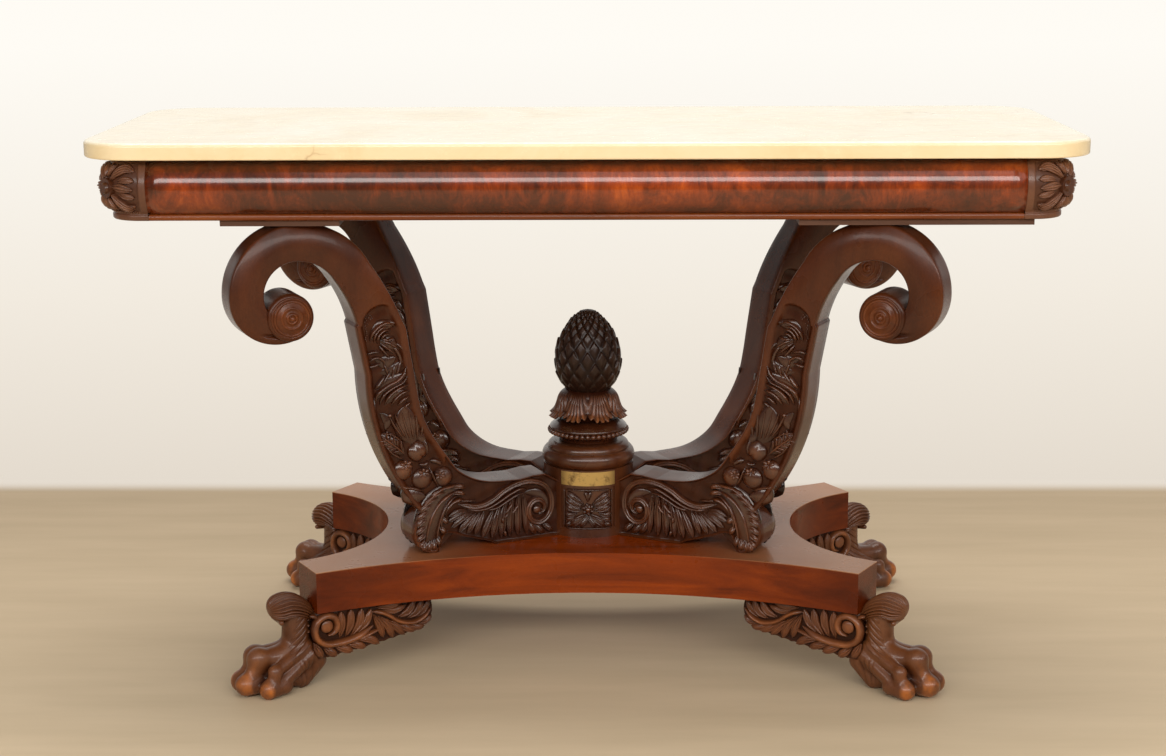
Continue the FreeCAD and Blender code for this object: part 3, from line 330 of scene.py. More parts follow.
plain_mahogany = mahogany("plain_mahogany", (0.045, 0.018, 0.009), (0.090, 0.036, 0.018),
                          (0.140, 0.060, 0.030), grain=(1, 8, 8), rough=(0.6, 0.75), coat=0.0)
print("mahogany finishes made")

# %% [markdown]
# The frame's round moulding is faced with crotch veneer, cut where a trunk forks: dark feathers
# and bright orange flames stand side by side, in leaves a hand or two wide along the moulding.
# A noise stretched up the moulding bends a wave, and a second noise sets dark and bright leaves.
# %% Flame veneer
def flame_veneer():
    material, tree, shader = start_finish("flame_veneer", Coat_Weight=0.85, Coat_Roughness=0.12,
                                          Coat_IOR=1.6, Specular_IOR_Level=0.12)
    leaves = noise(tree, place(tree, scale=(1, 1, 0.9)), 7.5, 3, 0.55, 0.9)
    feathers = noise(tree, place(tree, scale=(1, 1, 0.55), turn=(0, 0.5, 0)), 30, 6, 0.7, 1.6)
    fibres = noise(tree, place(tree, scale=(1, 1, 0.10)), 240, 4, 0.7, 0.2)
    flames = math_node(tree, "ADD", math_node(tree, "MULTIPLY", leaves, 0.66),
                       math_node(tree, "MULTIPLY", feathers, 0.34))
    flames = math_node(tree, "ADD", flames, math_node(tree, "MULTIPLY_ADD", fibres, 0.16, -0.08))
    colour = ramp(tree, flames, [(0.40, (0.058, 0.010, 0.002)), (0.47, (0.140, 0.020, 0.002)),
                                 (0.55, (0.300, 0.042, 0.003)), (0.64, (0.540, 0.092, 0.004))])
    up = add(tree, "SeparateXYZ", Vector=place(tree)).outputs["Z"]
    # Painted shadow and shade: the top of the round is painted dark as the marble's shadow, and its foot is
    # painted darker.
    rim = math_node(tree, "ADD", ramp(tree, math_node(tree, "MULTIPLY_ADD", up, 16.0, -10.4),
                                      [(0.12, 1.0), (0.74, 0.0)]),
                    ramp(tree, math_node(tree, "MULTIPLY_ADD", up, 16.0, -10.8),
                         [(0.53, 0.0), (0.80, 1.0)]))
    colour = mix(tree, math_node(tree, "MULTIPLY", rim, 0.8), colour, (0.050, 0.015, 0.005))
    tree.links.new(colour, shader.inputs["Base Color"])
    tree.links.new(ramp(tree, noise(tree, place(tree), 7, 4), [(0.35, 0.2), (0.7, 0.34)]),
                   shader.inputs["Roughness"])
    bump(tree, shader, fibres, 0.12, 0.0004)
    return material


veneer = flame_veneer()
print("veneer made")

# %% [markdown]
# The top is a cream marble with a polished face. Its edge shows the stone's tan depth. Short brown
# cracks come from the thin borders of a Voronoi pattern, kept only where a broad noise allows
# them, so most of the slab stays calm.
# %% Cream marble
def cream_marble():
    material, tree, shader = start_finish("cream_marble", Coat_Weight=0.3, Coat_Roughness=0.08,
                                          Specular_IOR_Level=0.5)
    clouds = noise(tree, place(tree), 4.5, 8, 0.62, 1.4)
    fine = noise(tree, place(tree), 38, 8, 0.7)
    colour = ramp(tree, math_node(tree, "ADD", math_node(tree, "MULTIPLY", clouds, 0.8),
                                  math_node(tree, "MULTIPLY", fine, 0.2)),
                  [(0.3, (0.82, 0.70, 0.48)), (0.48, (0.90, 0.81, 0.62)),
                   (0.68, (0.93, 0.88, 0.74))])
    bent = add(tree, "VectorMath", {"operation": "MULTIPLY_ADD"}, in0=add(
        tree, "TexNoise", Vector=place(tree), Scale=9.0, Detail=5.0).outputs[1],
        in1=(0.09, 0.09, 0.09), in2=place(tree)).outputs[0]
    cracks = add(tree, "TexVoronoi", {"feature": "DISTANCE_TO_EDGE"}, Vector=bent,
                 Scale=11.0).outputs["Distance"]
    thin = ramp(tree, cracks, [(0.0, 1.0), (0.010, 0.3), (0.022, 0.0)])
    allowed = ramp(tree, noise(tree, place(tree, shift=(3, 1, 0)), 6, 4), [(0.60, 0.0), (0.70, 1.0)])
    crack = math_node(tree, "MULTIPLY", thin, allowed)
    colour = mix(tree, math_node(tree, "MULTIPLY", crack, 0.75), colour, (0.34, 0.16, 0.05))
    up = add(tree, "SeparateXYZ", Vector=add(tree, "NewGeometry").outputs["Normal"]).outputs["Z"]
    side = ramp(tree, up, [(0.3, 1.0), (0.9, 0.0)])
    colour = mix(tree, math_node(tree, "MULTIPLY", side, 0.75), colour, (0.98, 0.84, 0.60), "MULTIPLY")
    tree.links.new(colour, shader.inputs["Base Color"])
    tree.links.new(ramp(tree, fine, [(0.3, 0.16), (0.7, 0.3)]), shader.inputs["Roughness"])
    bump(tree, shader, crack, 0.3, -0.0006)
    return material


marble = cream_marble()
print("marble made")

# %% [markdown]
# The small plate on the drum is old yellow brass, brushed along its length and spotted with dark
# tarnish. Screws, rod, nut and washer are plain iron, out of sight but finished all the same.
# %% Brass and iron
def metal(name, colour, stained, rough, spots):
    material, tree, shader = start_finish(name, Metallic=1.0)
    brushed = noise(tree, place(tree, scale=(1, 1, 30)), 60, 5, 0.7)
    stain = ramp(tree, noise(tree, place(tree), spots, 6, 0.7), [(0.5, 0.0), (0.68, 1.0)])
    shade = mix(tree, brushed, tuple(0.8 * c for c in colour), colour)
    tree.links.new(mix(tree, stain, shade, stained), shader.inputs["Base Color"])
    tree.links.new(ramp(tree, stain, [(0.0, rough), (1.0, rough + 0.25)]), shader.inputs["Roughness"])
    bump(tree, shader, brushed, 0.2, 0.0003)
    return material


brass = metal("aged_brass", (0.70, 0.50, 0.20), (0.22, 0.13, 0.05), 0.34, 70)
iron = metal("plain_iron", (0.30, 0.28, 0.26), (0.10, 0.06, 0.04), 0.5, 120)
print("metals made")

# %% [markdown]
# Each leg is sawn from a thick plank as a flat S: a scroll under the frame, a long neck and shin,
# a round heel, and a saddle that runs in to the drum. Its edge is two lines, one along the crown
# and the saddle and one along the throat, shin and heel. Both are cut into ten matching lengths, so
# that every station across the plank joins a point on one line to a point on the other.
# %% The two edges of a leg
def smooth_line(points, count):
    """A line through the points, by cubic Hermite pieces with averaged tangents."""
    points = np.asarray(points, float)
    if len(points) == 2:
        return points[0] + (points[1] - points[0]) * np.linspace(0, 1, count)[:, None]
    step = np.linalg.norm(np.diff(points, axis=0), axis=1)
    knot = np.concatenate([[0], np.cumsum(step)])
    slope = np.gradient(points, knot, axis=0)
    want = np.linspace(0, knot[-1], count)
    k = np.clip(np.searchsorted(knot, want, side="right") - 1, 0, len(points) - 2)
    gap = (knot[k + 1] - knot[k])[:, None]
    t = (want - knot[k])[:, None] / gap
    return ((2 * t**3 - 3 * t**2 + 1) * points[k] + (t**3 - 2 * t**2 + t) * gap * slope[k]
            + (3 * t**2 - 2 * t**3) * points[k + 1] + (t**3 - t**2) * gap * slope[k + 1])


LEG_REACH, LEG_TOP, HALF_THICK = 432.49, 642.0, 28.0
EYE = np.array([447.46, 519.98])
SCROLL = np.array([462.49, 548.0])


def turn_about(centre, radius, first, last, steps=24):
    angle = np.radians(np.linspace(first, last, steps))
    return centre + radius * np.stack([np.cos(angle), np.sin(angle)], axis=-1)


mouth = EYE + 32.2 * np.array([math.cos(math.radians(20)), math.sin(math.radians(20))])
under_crown = (LEG_REACH + 4, LEG_TOP - 48)
throat_foot = (LEG_REACH - 50, LEG_TOP - 79)
throat = arc(mouth, under_crown, 45, 24)
underside = arc(under_crown, throat_foot, 62, 24)
crown_left = arc((LEG_REACH - 13, LEG_TOP), (LEG_REACH - 98.7, LEG_TOP - 57), 105, 20)
shin = arc((LEG_REACH - 89, 430), (267.4, 224.3), -320, 60)
crown_run = smooth_line([(LEG_REACH - 147, 492), (275.7, 430.6), (270, 394), (264.6, 369), (254.3, 344.6),
                         (242.9, 325), (229.6, 305.3), (213.3, 283.2), (190, 268), (165, 260.5),
                         (150, 259)], 200)
bend_here = int(np.argmin(np.abs(crown_run[:, 1] - 369)))
heel = path(arc((267.4, 224.3), (282, 198), -31, 12), arc((282, 198), (251, 167), -31, 16))
cuts = [
    (path(turn_about(EYE, 32.2, 20, 241.8, 40), turn_about(SCROLL, 64, 241.8, 270, 10)),
     np.array([mouth, mouth]), 46),
    (turn_about(SCROLL, 64, 270, 360), throat[:12], 30),
    (arc((LEG_REACH + 94, 548), (LEG_REACH + 13, LEG_TOP), 94, 24), throat[11:], 34),
    (np.array([(LEG_REACH + 13, LEG_TOP), (LEG_REACH - 13, LEG_TOP)]), underside[:9], 10),
    (crown_left, underside[8:], 30),
    (arc((LEG_REACH - 98.7, LEG_TOP - 57), (LEG_REACH - 142, 502), 400, 20),
     arc(throat_foot, (LEG_REACH - 78.5, 502), 175, 20), 44),
    (path([(LEG_REACH - 142, 502), (LEG_REACH - 147, 492)], crown_run[: bend_here + 1]),
     path([(LEG_REACH - 78.5, 502), (LEG_REACH - 76.3, 498.5)],
          [(LEG_REACH - 76.3, 498.5), (LEG_REACH - 89, 430)], shin[:18]), 92),
    (crown_run[bend_here:], path(shin[17:], heel), 130),
    (np.array([(150, 259), (120, 258), (98, 261)]),
     path([(251, 167), (246, 167)], smooth_line([(246, 167), (243, 180), (236, 192), (224, 192), (206, 185),
                                                 (186, 178), (166, 171.5), (158, 167)], 40)), 60),
    (np.array([(98, 261), (80, 261), (57.7, 247)]), np.array([(158, 167), (57.7, 167)]), 60),
]


def joined(side):
    """One edge of the plank: its lengths end to end, without the stations that two of them share."""
    runs = [even(cut[side], cut[2]) for cut in cuts]
    return np.concatenate([run[:-1] for run in runs[:-1]] + runs[-1:])


outer_edge, inner_edge = joined(0), joined(1)
print("leg stations:", len(outer_edge))

# %% [markdown]
# Across each station the plank is a loop: one carved face, a rounded corner, the sawn edge, the
# other face and the other edge. The scroll's arms are rounded more than the carved lower part. The
# carved panel is sunk six millimetres, with an arched top, and leaves a smooth margin.
# %% The plank with its sunk panels
SUNK = 6.0


def panel_depth(r, z, from_outer, from_inner):
    """Depth of the sunk ground: 0 on the margins, 1 inside the panel."""
    arch = 527.0 - 27.0 * (1 - np.sqrt(np.clip(1 - ((r - 318) / 29.0) ** 2, 0, 1)))
    top = ease(arch - z, -0.5, 2.5)
    margin = 3.5 + 3.5 * ease(z, 320, 370)
    open_side = np.where(r < 232, 1.0, ease(from_outer, margin, margin + 8.0))
    shin_side = np.where(r < 246, 1.0, ease(from_inner, 4.5, 10.0))
    heel_plain = ease(290 - z + 1.1 * (275 - r), 0, 4) + ease(z, 258, 262)
    return top * open_side * shin_side * np.clip(heel_plain, 0, 1)


def face_drop(d, wide):
    """How far the scroll's face falls away toward its edges, so that the arms look rounded."""
    station = np.arange(len(wide))[:, None]
    there = (1 - ease(station, 120, 185)) * ease(station, 20, 60)
    t = d / np.maximum(wide, 1e-6)
    return there * (7.5 * np.clip(t - 0.45, 0, 1) ** 2 / 0.3 + 2.0 * np.clip(0.35 - t, 0, 1) / 0.35)


def leg_plank():
    across = outer_edge - inner_edge
    wide = np.hypot(*across.T)
    unit = across / np.maximum(wide, 1e-6)[:, None]
    round_off = np.minimum(2.4, wide * 0.45)
    face = np.linspace(0, 1, 36)
    bend = np.radians(np.linspace(0, 90, 5))[1:-1]
    columns, level = [], []
    r_edge = round_off[:, None]
    w = wide[:, None]
    d = r_edge + (w - 2 * r_edge) * face
    flat = inner_edge[:, None] + unit[:, None] * d[..., None]
    sink = panel_depth(flat[..., 0], flat[..., 1], w - d, d)
    sink = sink * (1 + 0.13 * np.sin(flat[..., 0] / 5.3 + flat[..., 1] / 9.1)
                   * np.sin(flat[..., 1] / 6.7 - flat[..., 0] / 11.3))
    turn = r_edge * (1 - np.sin(bend)), r_edge * (1 - np.cos(bend))
    rim = np.linspace(1, -1, 6)

    def add_run(d, off, height):
        columns.append((d, off * (1 - face_drop(d, w) / HALF_THICK)))
        level.append(np.broadcast_to(height, d.shape))

    # Painted shade: the sunk ground gets a lower level than the margins, so it is painted darker.
    add_run(d, HALF_THICK - SUNK * sink, 0.62 - 0.40 * sink)
    add_run(w - turn[0], HALF_THICK - turn[1], 0.75)
    add_run(w + 0 * rim, rim * (HALF_THICK - r_edge), 0.66)
    add_run(w - turn[0][:, ::-1], -(HALF_THICK - turn[1][:, ::-1]), 0.75)
    add_run(d[:, ::-1], -(HALF_THICK - SUNK * sink[:, ::-1]), 0.62 - 0.40 * sink[:, ::-1])
    add_run(turn[0][:, ::-1], -(HALF_THICK - turn[1][:, ::-1]), 0.75)
    add_run(0 * w + 0 * rim, -rim * (HALF_THICK - r_edge), 0.66)
    add_run(turn[0], HALF_THICK - turn[1], 0.75)
    d = np.concatenate([c[0] for c in columns], axis=1)
    off = np.concatenate([c[1] for c in columns], axis=1)
    flat = inner_edge[:, None] + unit[:, None] * d[..., None]
    plank = np.stack([flat[..., 0], off, flat[..., 1]], axis=-1)
    middle = np.broadcast_to(plank[-1].mean(axis=0), (1,) + plank[-1].shape)
    return np.concatenate([plank, middle]), np.concatenate(
        [np.concatenate(level, axis=1), np.full((1, plank.shape[1]), 0.3)])


plank, plank_level = leg_plank()
print("plank grid:", plank.shape)

# %% [markdown]
# Carving is made of ribs and lobes. Each is a small skin laid along a smooth line on the ground:
# it swells to a rounded crest, may have a groove down its middle, and ends in a blunt or a pointed
# tip. Its underside is buried, as real carving is one with its plank. Balls make the fruit.
# %% Ribs, lobes and balls on a flat ground
def rib(points, wide, high, tip=0.3, start=0.2, groove=0.0, base=0.0, sink=3.0, across=7):
    """(a, b, height, level) grids of one rib: half width wide/2, crown sqrt(1 - v^2) * high."""
    points = np.asarray(points, float)
    length = np.linalg.norm(np.diff(points, axis=0), axis=1).sum()
    steps = int(np.clip(length / 1.7, 9, 64))
    line = smooth_line(points, steps)
    along = np.linspace(0, 1, steps)
    tangent = np.gradient(line, axis=0)
    tangent /= np.linalg.norm(tangent, axis=1)[:, None]
    normal = np.stack([-tangent[:, 1], tangent[:, 0]], axis=-1)
    half = wide / 2 * np.clip(along / start, 0, 1) ** 0.6 * np.clip((1 - along) / tip, 0, 1) ** 0.5
    rise = high * (0.25 + 0.75 * ease(along, 0, start * 1.5)) * (1 - 0.35 * ease(along, 1 - tip, 1))
    v = np.linspace(-1, 1, across)
    crown = np.sqrt(np.clip(1 - v**2, 0, 1)) * (1 - groove * np.exp(-(v / 0.33) ** 2))
    place_2d = line[:, None] + normal[:, None] * (half[:, None] * v)[..., None]
    height = base + rise[:, None] * crown
    # Painted shade: the level is low at the rib's foot and its buried edges, and high on its crest.
    level = 0.18 + 0.82 * np.clip(height / 8.5, 0, 1) ** 0.8
    buried = np.full((steps, 1), -sink)
    a = np.concatenate([place_2d[:, :1, 0], place_2d[..., 0], place_2d[:, -1:, 0]], axis=1)
    b = np.concatenate([place_2d[:, :1, 1], place_2d[..., 1], place_2d[:, -1:, 1]], axis=1)
    height = np.concatenate([buried, height, buried], axis=1)
    level = np.concatenate([0 * buried, level, 0 * buried], axis=1)
    return a, b, height, level, True


def ball(a, b, radius, lift=0.4, squash=1.0, cleft=0.0, turn=0.0, parts=(14, 22)):
    """A sphere of that radius with its centre lifted off the ground; a cleft folds it along turn."""
    polar, around = np.meshgrid(np.linspace(0, np.pi, parts[0]),
                                np.linspace(0, 2 * np.pi, parts[1], endpoint=False), indexing="ij")
    size = radius * (1 - cleft * np.exp(-(np.sin(around - turn) / 0.22) ** 2) * np.sin(polar))
    x = size * np.sin(polar) * np.cos(around)
    y = size * np.sin(polar) * np.sin(around)
    h = radius * lift + size * np.cos(polar) * squash
    # Painted shade: the level is lowest at the ball's foot and highest on its top.
    return a + x, b + y, h, 0.25 + 0.75 * np.clip(h / (radius * (lift + squash)), 0, 1), True


def laid(grids, put):
    """Turn (a, b, height, level) grids into skins with put(a, b, height) -> x, y, z."""
    return [skin(np.stack(put(a, b, h), axis=-1), level, wrap_columns=wrap)
            for a, b, h, level, wrap in grids]


def leaf(points, wide, high, veins=2, base=0.0, tip=0.3, start=0.45, cut=0.5):
    """A broad rib with finer ribs along it, that meet where the leaf springs and near its tip."""
    line = smooth_line(points, 15)
    tangent = np.gradient(line, axis=0)
    tangent /= np.linalg.norm(tangent, axis=1)[:, None]
    normal = np.stack([-tangent[:, 1], tangent[:, 0]], axis=-1)
    along = np.linspace(0, 1, 15)
    half = wide / 2 * np.clip(along / start, 0, 1) ** 0.7 * (1 - 0.45 * ease(along, 1 - tip, 1))
    out = [rib(line, wide, high, tip=tip, start=start, base=base)]
    for v in np.linspace(-1, 1, veins) * 0.62 if veins > 1 else [0.0]:
        run = line + normal * (half * v)[:, None]
        out.append(rib(run[1:-1], wide / (veins + 0.6), high * cut, tip=0.3, start=0.3,
                       base=base + high * (math.sqrt(1 - v * v) - 0.35), sink=1.0, across=5))
    return out


def leaves(*rows, veins=2, high=4.5, **more):
    """Several leaves at once, each (points, width)."""
    return [grid for points, wide in rows for grid in leaf(points, wide, high, veins, **more)]


# %% [markdown]
# The leg's carving, from the top: a curled leaf behind a punched ground, sweeping stems, a ribbed
# leaf, a split plum and three small apples, a big leaf that hangs over the heel, and a long
# scroll that curls into a volute over a fan of leaf tips. Points are (distance from the column's
# axis, height above the floor).
# %% Carving on a leg's face
swells = [rib(points, wide, high, tip=0.5, start=0.5, across=11) for points, wide, high in (
    ([(334, 478), (322, 494), (300, 500)], 22, 4.2), ([(322, 476), (308, 471), (298, 464)], 24, 3.4),
    ([(330, 452), (314, 446), (300, 452)], 22, 3.0), ([(330, 396), (312, 414), (286, 428)], 26, 4.4),
    ([(314, 388), (302, 400), (287, 403)], 18, 4.0), ([(326, 432), (306, 434), (290, 446)], 18, 2.8),
    ([(324, 376), (314, 362), (318, 352)], 16, 2.6), ([(272, 350), (266, 336), (259, 322)], 14, 3.0))]
curl = [
    rib([(336, 476), (333, 488), (324, 497), (312, 501), (300, 495)], 5.2, 7.6),
    rib([(331, 474), (329, 486), (321, 494), (310, 496)], 4.6, 7.0),
    rib([(326, 473), (325, 483), (318, 490), (308, 491)], 5, 7.2),
    rib([(322, 478), (317, 484), (309, 486)], 4.4, 6.4),
    rib([(320, 479), (311, 477), (302, 480)], 5, 6.2), rib([(319, 476), (309, 472), (297, 463)], 5.5, 6.4),
    rib([(322, 473), (314, 467), (303, 457)], 5, 6.0), rib([(324, 470), (317, 461), (309, 452)], 5, 5.4),
    rib([(342, 459), (332, 462), (321, 459)], 4.6, 4.8), rib([(341, 441), (331, 443), (323, 446)], 5, 5.2),
    rib([(339, 448), (329, 454), (319, 449), (317, 440)], 5, 6.2),
    rib([(318, 446), (315, 436), (312, 428)], 4.6, 5.4), ball(312, 427, 3.4), ball(311, 371, 3.0),
    rib([(306, 470), (296, 456), (292, 440)], 6, 4.6), rib([(300, 472), (290, 462), (286, 450)], 5, 4.0)]
sweeps = [
    rib([(332, 390), (327, 404), (313, 414), (299, 420), (290, 429), (286, 439)], 6, 8),
    rib([(325, 387), (320, 400), (306, 410), (292, 416), (284, 425)], 5, 6.8),
    rib([(318, 386), (313, 397), (300, 407), (283, 413)], 5.2, 7.2),
    rib([(308, 385), (302, 395), (291, 402), (281, 404)], 5.2, 6.8),
    rib([(299, 384), (293, 391), (282, 396)], 4.8, 6), rib([(291, 378), (286, 384), (280, 387)], 4.6, 5.2),
    rib([(331, 410), (324, 418), (317, 428)], 6.5, 5.6), rib([(322, 415), (315, 424), (309, 434)], 5, 5.4),
    rib([(301, 426), (297, 436), (294, 448)], 5, 5.4), rib([(308, 421), (305, 431), (303, 442)], 4.4, 5),
    rib([(332, 398), (333, 375), (327, 352)], 5.5, 3.6)]
feather = [
    rib([(277, 326), (285, 354), (291, 382)], 42, 4.0, start=0.4, tip=0.5, across=13),
    *[rib([(277 + 4.5 * k, 333 + abs(k)), (281 + 6.8 * k, 354), (284 + 8.4 * k, 376 - 1.5 * abs(k))],
          4.2, 3.4, base=2.0, sink=1) for k in (-2.4, -1.2, 0, 1.2, 2.4, 3.4)]]
ribbed_leaf = [rib([(291, 314), (306, 328), (328, 346)], 29, 6, start=0.4, tip=0.6, across=11),
               rib([(291, 314), (306, 328), (326, 344)], 3.4, 3.2, base=5.2, sink=1)] + [
    rib([(296 + 5 * k, 320.5 + 4.2 * k), (300.5 + 5 * k + 3 * s, 324 + 4.2 * k - 3.5 * s),
         (303 + 5 * k + 6.2 * s, 327 + 4.2 * k - 8 * s)], 2.6, 2.4, base=4.6, sink=1.5)
    for k in range(5) for s in (1.0, -1.0)] + [rib([(327, 347), (311, 345), (294, 331)], 3.6, 7),
                                               rib([(321, 334), (310, 318), (293, 307)], 4.6, 5.6)]


def star(a, b, radius, lift):
    """The dried flower on an apple: crinkled leaves round a dimple."""
    return [rib([(a + 1.2 * math.cos(t), b + 1.2 * math.sin(t)),
                 (a + radius * math.cos(t), b + 0.8 * radius * math.sin(t))], radius * 0.55, 2.4,
                base=lift, sink=2.5, across=5) for t in np.arange(6) * 2 * np.pi / 6 + 0.4]


fruit = [ball(272, 316, 15.5, -0.02, 0.56, cleft=0.2, turn=0.9), ball(294, 291, 15, -0.02, 0.56),
         ball(266, 276, 16, -0.04, 0.56), ball(235, 275, 15, -0.02, 0.56),
         rib([(256, 292), (250, 276), (243, 262)], 4.6, 7), rib([(254, 300), (246, 299), (236, 292)], 8, 5.4),
         rib([(262, 306), (259, 318), (262, 331)], 8, 5), rib([(255, 300), (262, 296), (270, 297)], 6, 5),
         rib([(300, 268), (285, 265), (266, 259)], 5.5, 6.6, start=0.1),
         rib([(296, 262), (280, 252), (262, 250)], 26, 5.2, start=0.3, tip=0.4, across=11),
         *star(291, 299, 9.5, 6.2), *star(265, 285, 9, 6.4), *star(241, 279, 9, 6.8)]
hanging_leaf = [
    rib([(210, 255), (232, 249), (250, 230), (259, 203), (257, 173)], 44, 5.8, start=0.35, tip=0.35,
        across=13),
    rib([(204, 261), (224, 260), (241, 257), (254, 248), (265, 238), (276, 226)], 5.4, 8.6),
    rib([(206, 252), (224, 249), (239, 241), (250, 228), (258, 211), (262, 194), (265, 174)], 6, 9),
    rib([(202, 237), (210, 239), (220, 237), (229, 230), (235, 219)], 6.6, 8),
    rib([(208, 246), (222, 242), (233, 232), (241, 216), (246, 198), (248, 176)], 5, 8),
    rib([(226, 240), (235, 226), (240, 210), (240, 192)], 5, 7)] + leaves(
    ([(232, 252), (243, 254), (256, 248)], 8), ([(242, 246), (254, 245), (266, 237)], 8),
    ([(250, 237), (262, 236), (273, 228)], 8), ([(255, 228), (267, 225), (277, 218)], 8),
    ([(258, 219), (270, 215), (279, 207)], 8), ([(260, 209), (271, 203), (279.5, 197)], 8),
    ([(261, 198), (270, 193), (278.5, 187)], 8), ([(262, 189), (268, 183), (275, 177)], 8),
    ([(263, 186), (266, 178), (269, 170.5)], 8), ([(257, 188), (259, 178), (261, 169.5)], 8.5),
    ([(251, 188), (252, 178), (252, 170)], 8.5), ([(246, 192), (245, 182), (243, 175)], 8),
    ([(243, 205), (239, 199), (234, 193)], 8), ([(240, 218), (235, 212), (230, 207)], 8),
    ([(225, 256), (214, 259), (203, 256)], 7), ([(224, 248), (213, 250), (203, 246)], 7), high=6.0, base=2.0)
scroll_band = [
    rib([(214, 232), (203, 229), (190, 226), (175, 227), (160, 233), (145, 243), (128, 250), (112, 253),
         (99, 252), (86, 247), (76, 237), (71.5, 224), (72, 208), (79, 196), (90, 190.5), (101, 194),
         (107, 204), (106, 216), (98, 224), (88, 223), (82, 215), (84, 206), (92, 203)],
        9.5, 9.0, tip=0.10, start=0.06, groove=0.35, across=11),
    rib([(198, 222), (182, 220), (166, 222), (150, 229), (133, 238), (118, 243), (107, 241)], 5.4, 6.4,
        tip=0.15, start=0.08),
    rib([(170, 217), (154, 220), (138, 228), (122, 235), (110, 236)], 5, 5.6, start=0.1),
    rib([(215, 238), (200, 235), (186, 234)], 4, 3.4), ball(93, 209, 6.5, 0.2, 0.6),
    rib([(112, 236), (90, 232), (78, 214), (90, 200)], 16, 3.2, start=0.3, tip=0.4, across=9)]
fan = leaves(([(198, 221), (214, 222), (229, 216)], 7), ([(196, 219), (214, 216), (231, 208)], 8),
             ([(192, 217), (211, 209), (225, 199)], 9), ([(186, 216), (202, 203), (214, 191)], 10),
             ([(180, 216), (192, 201), (201, 187)], 9), ([(174, 217), (182, 201), (189, 184)], 9),
             high=5.2)
fan += leaves(([(160, 218), (169, 198), (178, 177)], 13), ([(150, 224), (157, 200), (163, 175)], 13),
              ([(141, 229), (146, 204), (149, 174)], 13), ([(131, 234), (135, 205), (136, 173.5)], 13),
              ([(122, 237), (123, 206), (123, 173.5)], 13), ([(114, 235), (111, 204), (109, 174)], 13),
              veins=3, high=5.6)
fan += leaves(([(108, 196), (103, 186), (95, 173)], 10), ([(100, 192), (92, 182), (81, 172)], 10),
              ([(86, 189), (78, 182), (68, 174)], 9), high=5.4)
fan += [rib([(147, 207), (148, 201), (147, 195)], 6, 8.6), rib([(138, 212), (143, 206), (146, 202)], 5, 8.2),
        rib([(130, 227), (138, 216), (146, 208)], 5, 7.6), rib([(122, 224), (128, 214), (135, 207)], 5, 7.6),
        rib([(146, 186), (144, 181), (144, 176)], 5.5, 8.4)]
generator = np.random.default_rng(11)
dots = [ball(341 + generator.normal(0, 1.3), z, 1.2, 0.4, parts=(6, 8)) for z in np.arange(478, 519, 2.6)]
dots += [ball(336 + generator.normal(0, 2), 511 + generator.normal(0, 3), 1.1, 0.4, parts=(6, 8))
         for _ in range(10)]
leg_carving = swells + curl + sweeps + feather + ribbed_leaf + fruit + hanging_leaf + scroll_band + fan + dots
print("ribs and balls on a leg's face:", len(leg_carving))

# %% [markdown]
# The four legs are the same leg, set on the diagonals of the frame. A point at (distance, across,
# height) goes out along the leg's heading and sideways along its normal.
# %% Four legs
HEADING = np.array([389.0, 189.0]) / LEG_REACH
corners = {"front_left": (-1, -1), "front_right": (1, -1), "back_left": (-1, 1), "back_right": (1, 1)}


def on_leg(corner, side=1):
    out = HEADING * corners[corner]
    normal = np.array([-out[1], out[0]]) * side

    def put(r, z, height):
        off = HALF_THICK - SUNK + height
        return out[0] * r + normal[0] * off, out[1] * r + normal[1] * off, z
    return put


for corner in corners:
    out = HEADING * corners[corner]
    normal = np.array([-out[1], out[0]])
    standing = np.stack([out[0] * plank[..., 0] + normal[0] * plank[..., 1],
                         out[1] * plank[..., 0] + normal[1] * plank[..., 1], plank[..., 2]], axis=-1)
    piece(f"{corner}_scroll_leg", [skin(standing, plank_level, wrap_columns=True)], board_mahogany,
          [f"{corner}_leg"])
    piece(f"{corner}_leg_carving", laid(leg_carving, on_leg(corner)) + laid(leg_carving, on_leg(corner, -1)),
          carved_mahogany, [f"{corner}_leg"])

# %% [markdown]
# The pineapple is one turned egg cut into diamonds. Fourteen spiral lines climb each way; their
# spacing follows the girth, so diamonds stay in shape as they shrink. Within a diamond the surface
# rises toward its upper tip and falls sharply beyond it, like a shingle. No two diamonds are cut
# to quite the same height, and the lowest ones are almost worn away.
# %% Pineapple
def scale_field(spiral, climb, tall):
    """Height of overlapped diamonds; p and q are 0..1 across one diamond along the two spirals,
    and own makes one diamond a little lower than the next."""
    p, q = (climb + spiral) % 1, (climb - spiral) % 1
    own = 0.84 + 0.16 * np.sin(12.9 * np.floor(climb + spiral) + 78.2 * np.floor(climb - spiral))
    rise = 0.3 + 0.7 * (p + q) / 2
    edge = ease(p, 0, 0.4) * ease(q, 0, 0.4) * (1 - ease(p, 0.82, 1.0)) * (1 - ease(q, 0.82, 1.0))
    ridge = 1 - 0.28 * np.abs(p - q)
    return tall * own * rise * edge * ridge, own * edge * rise


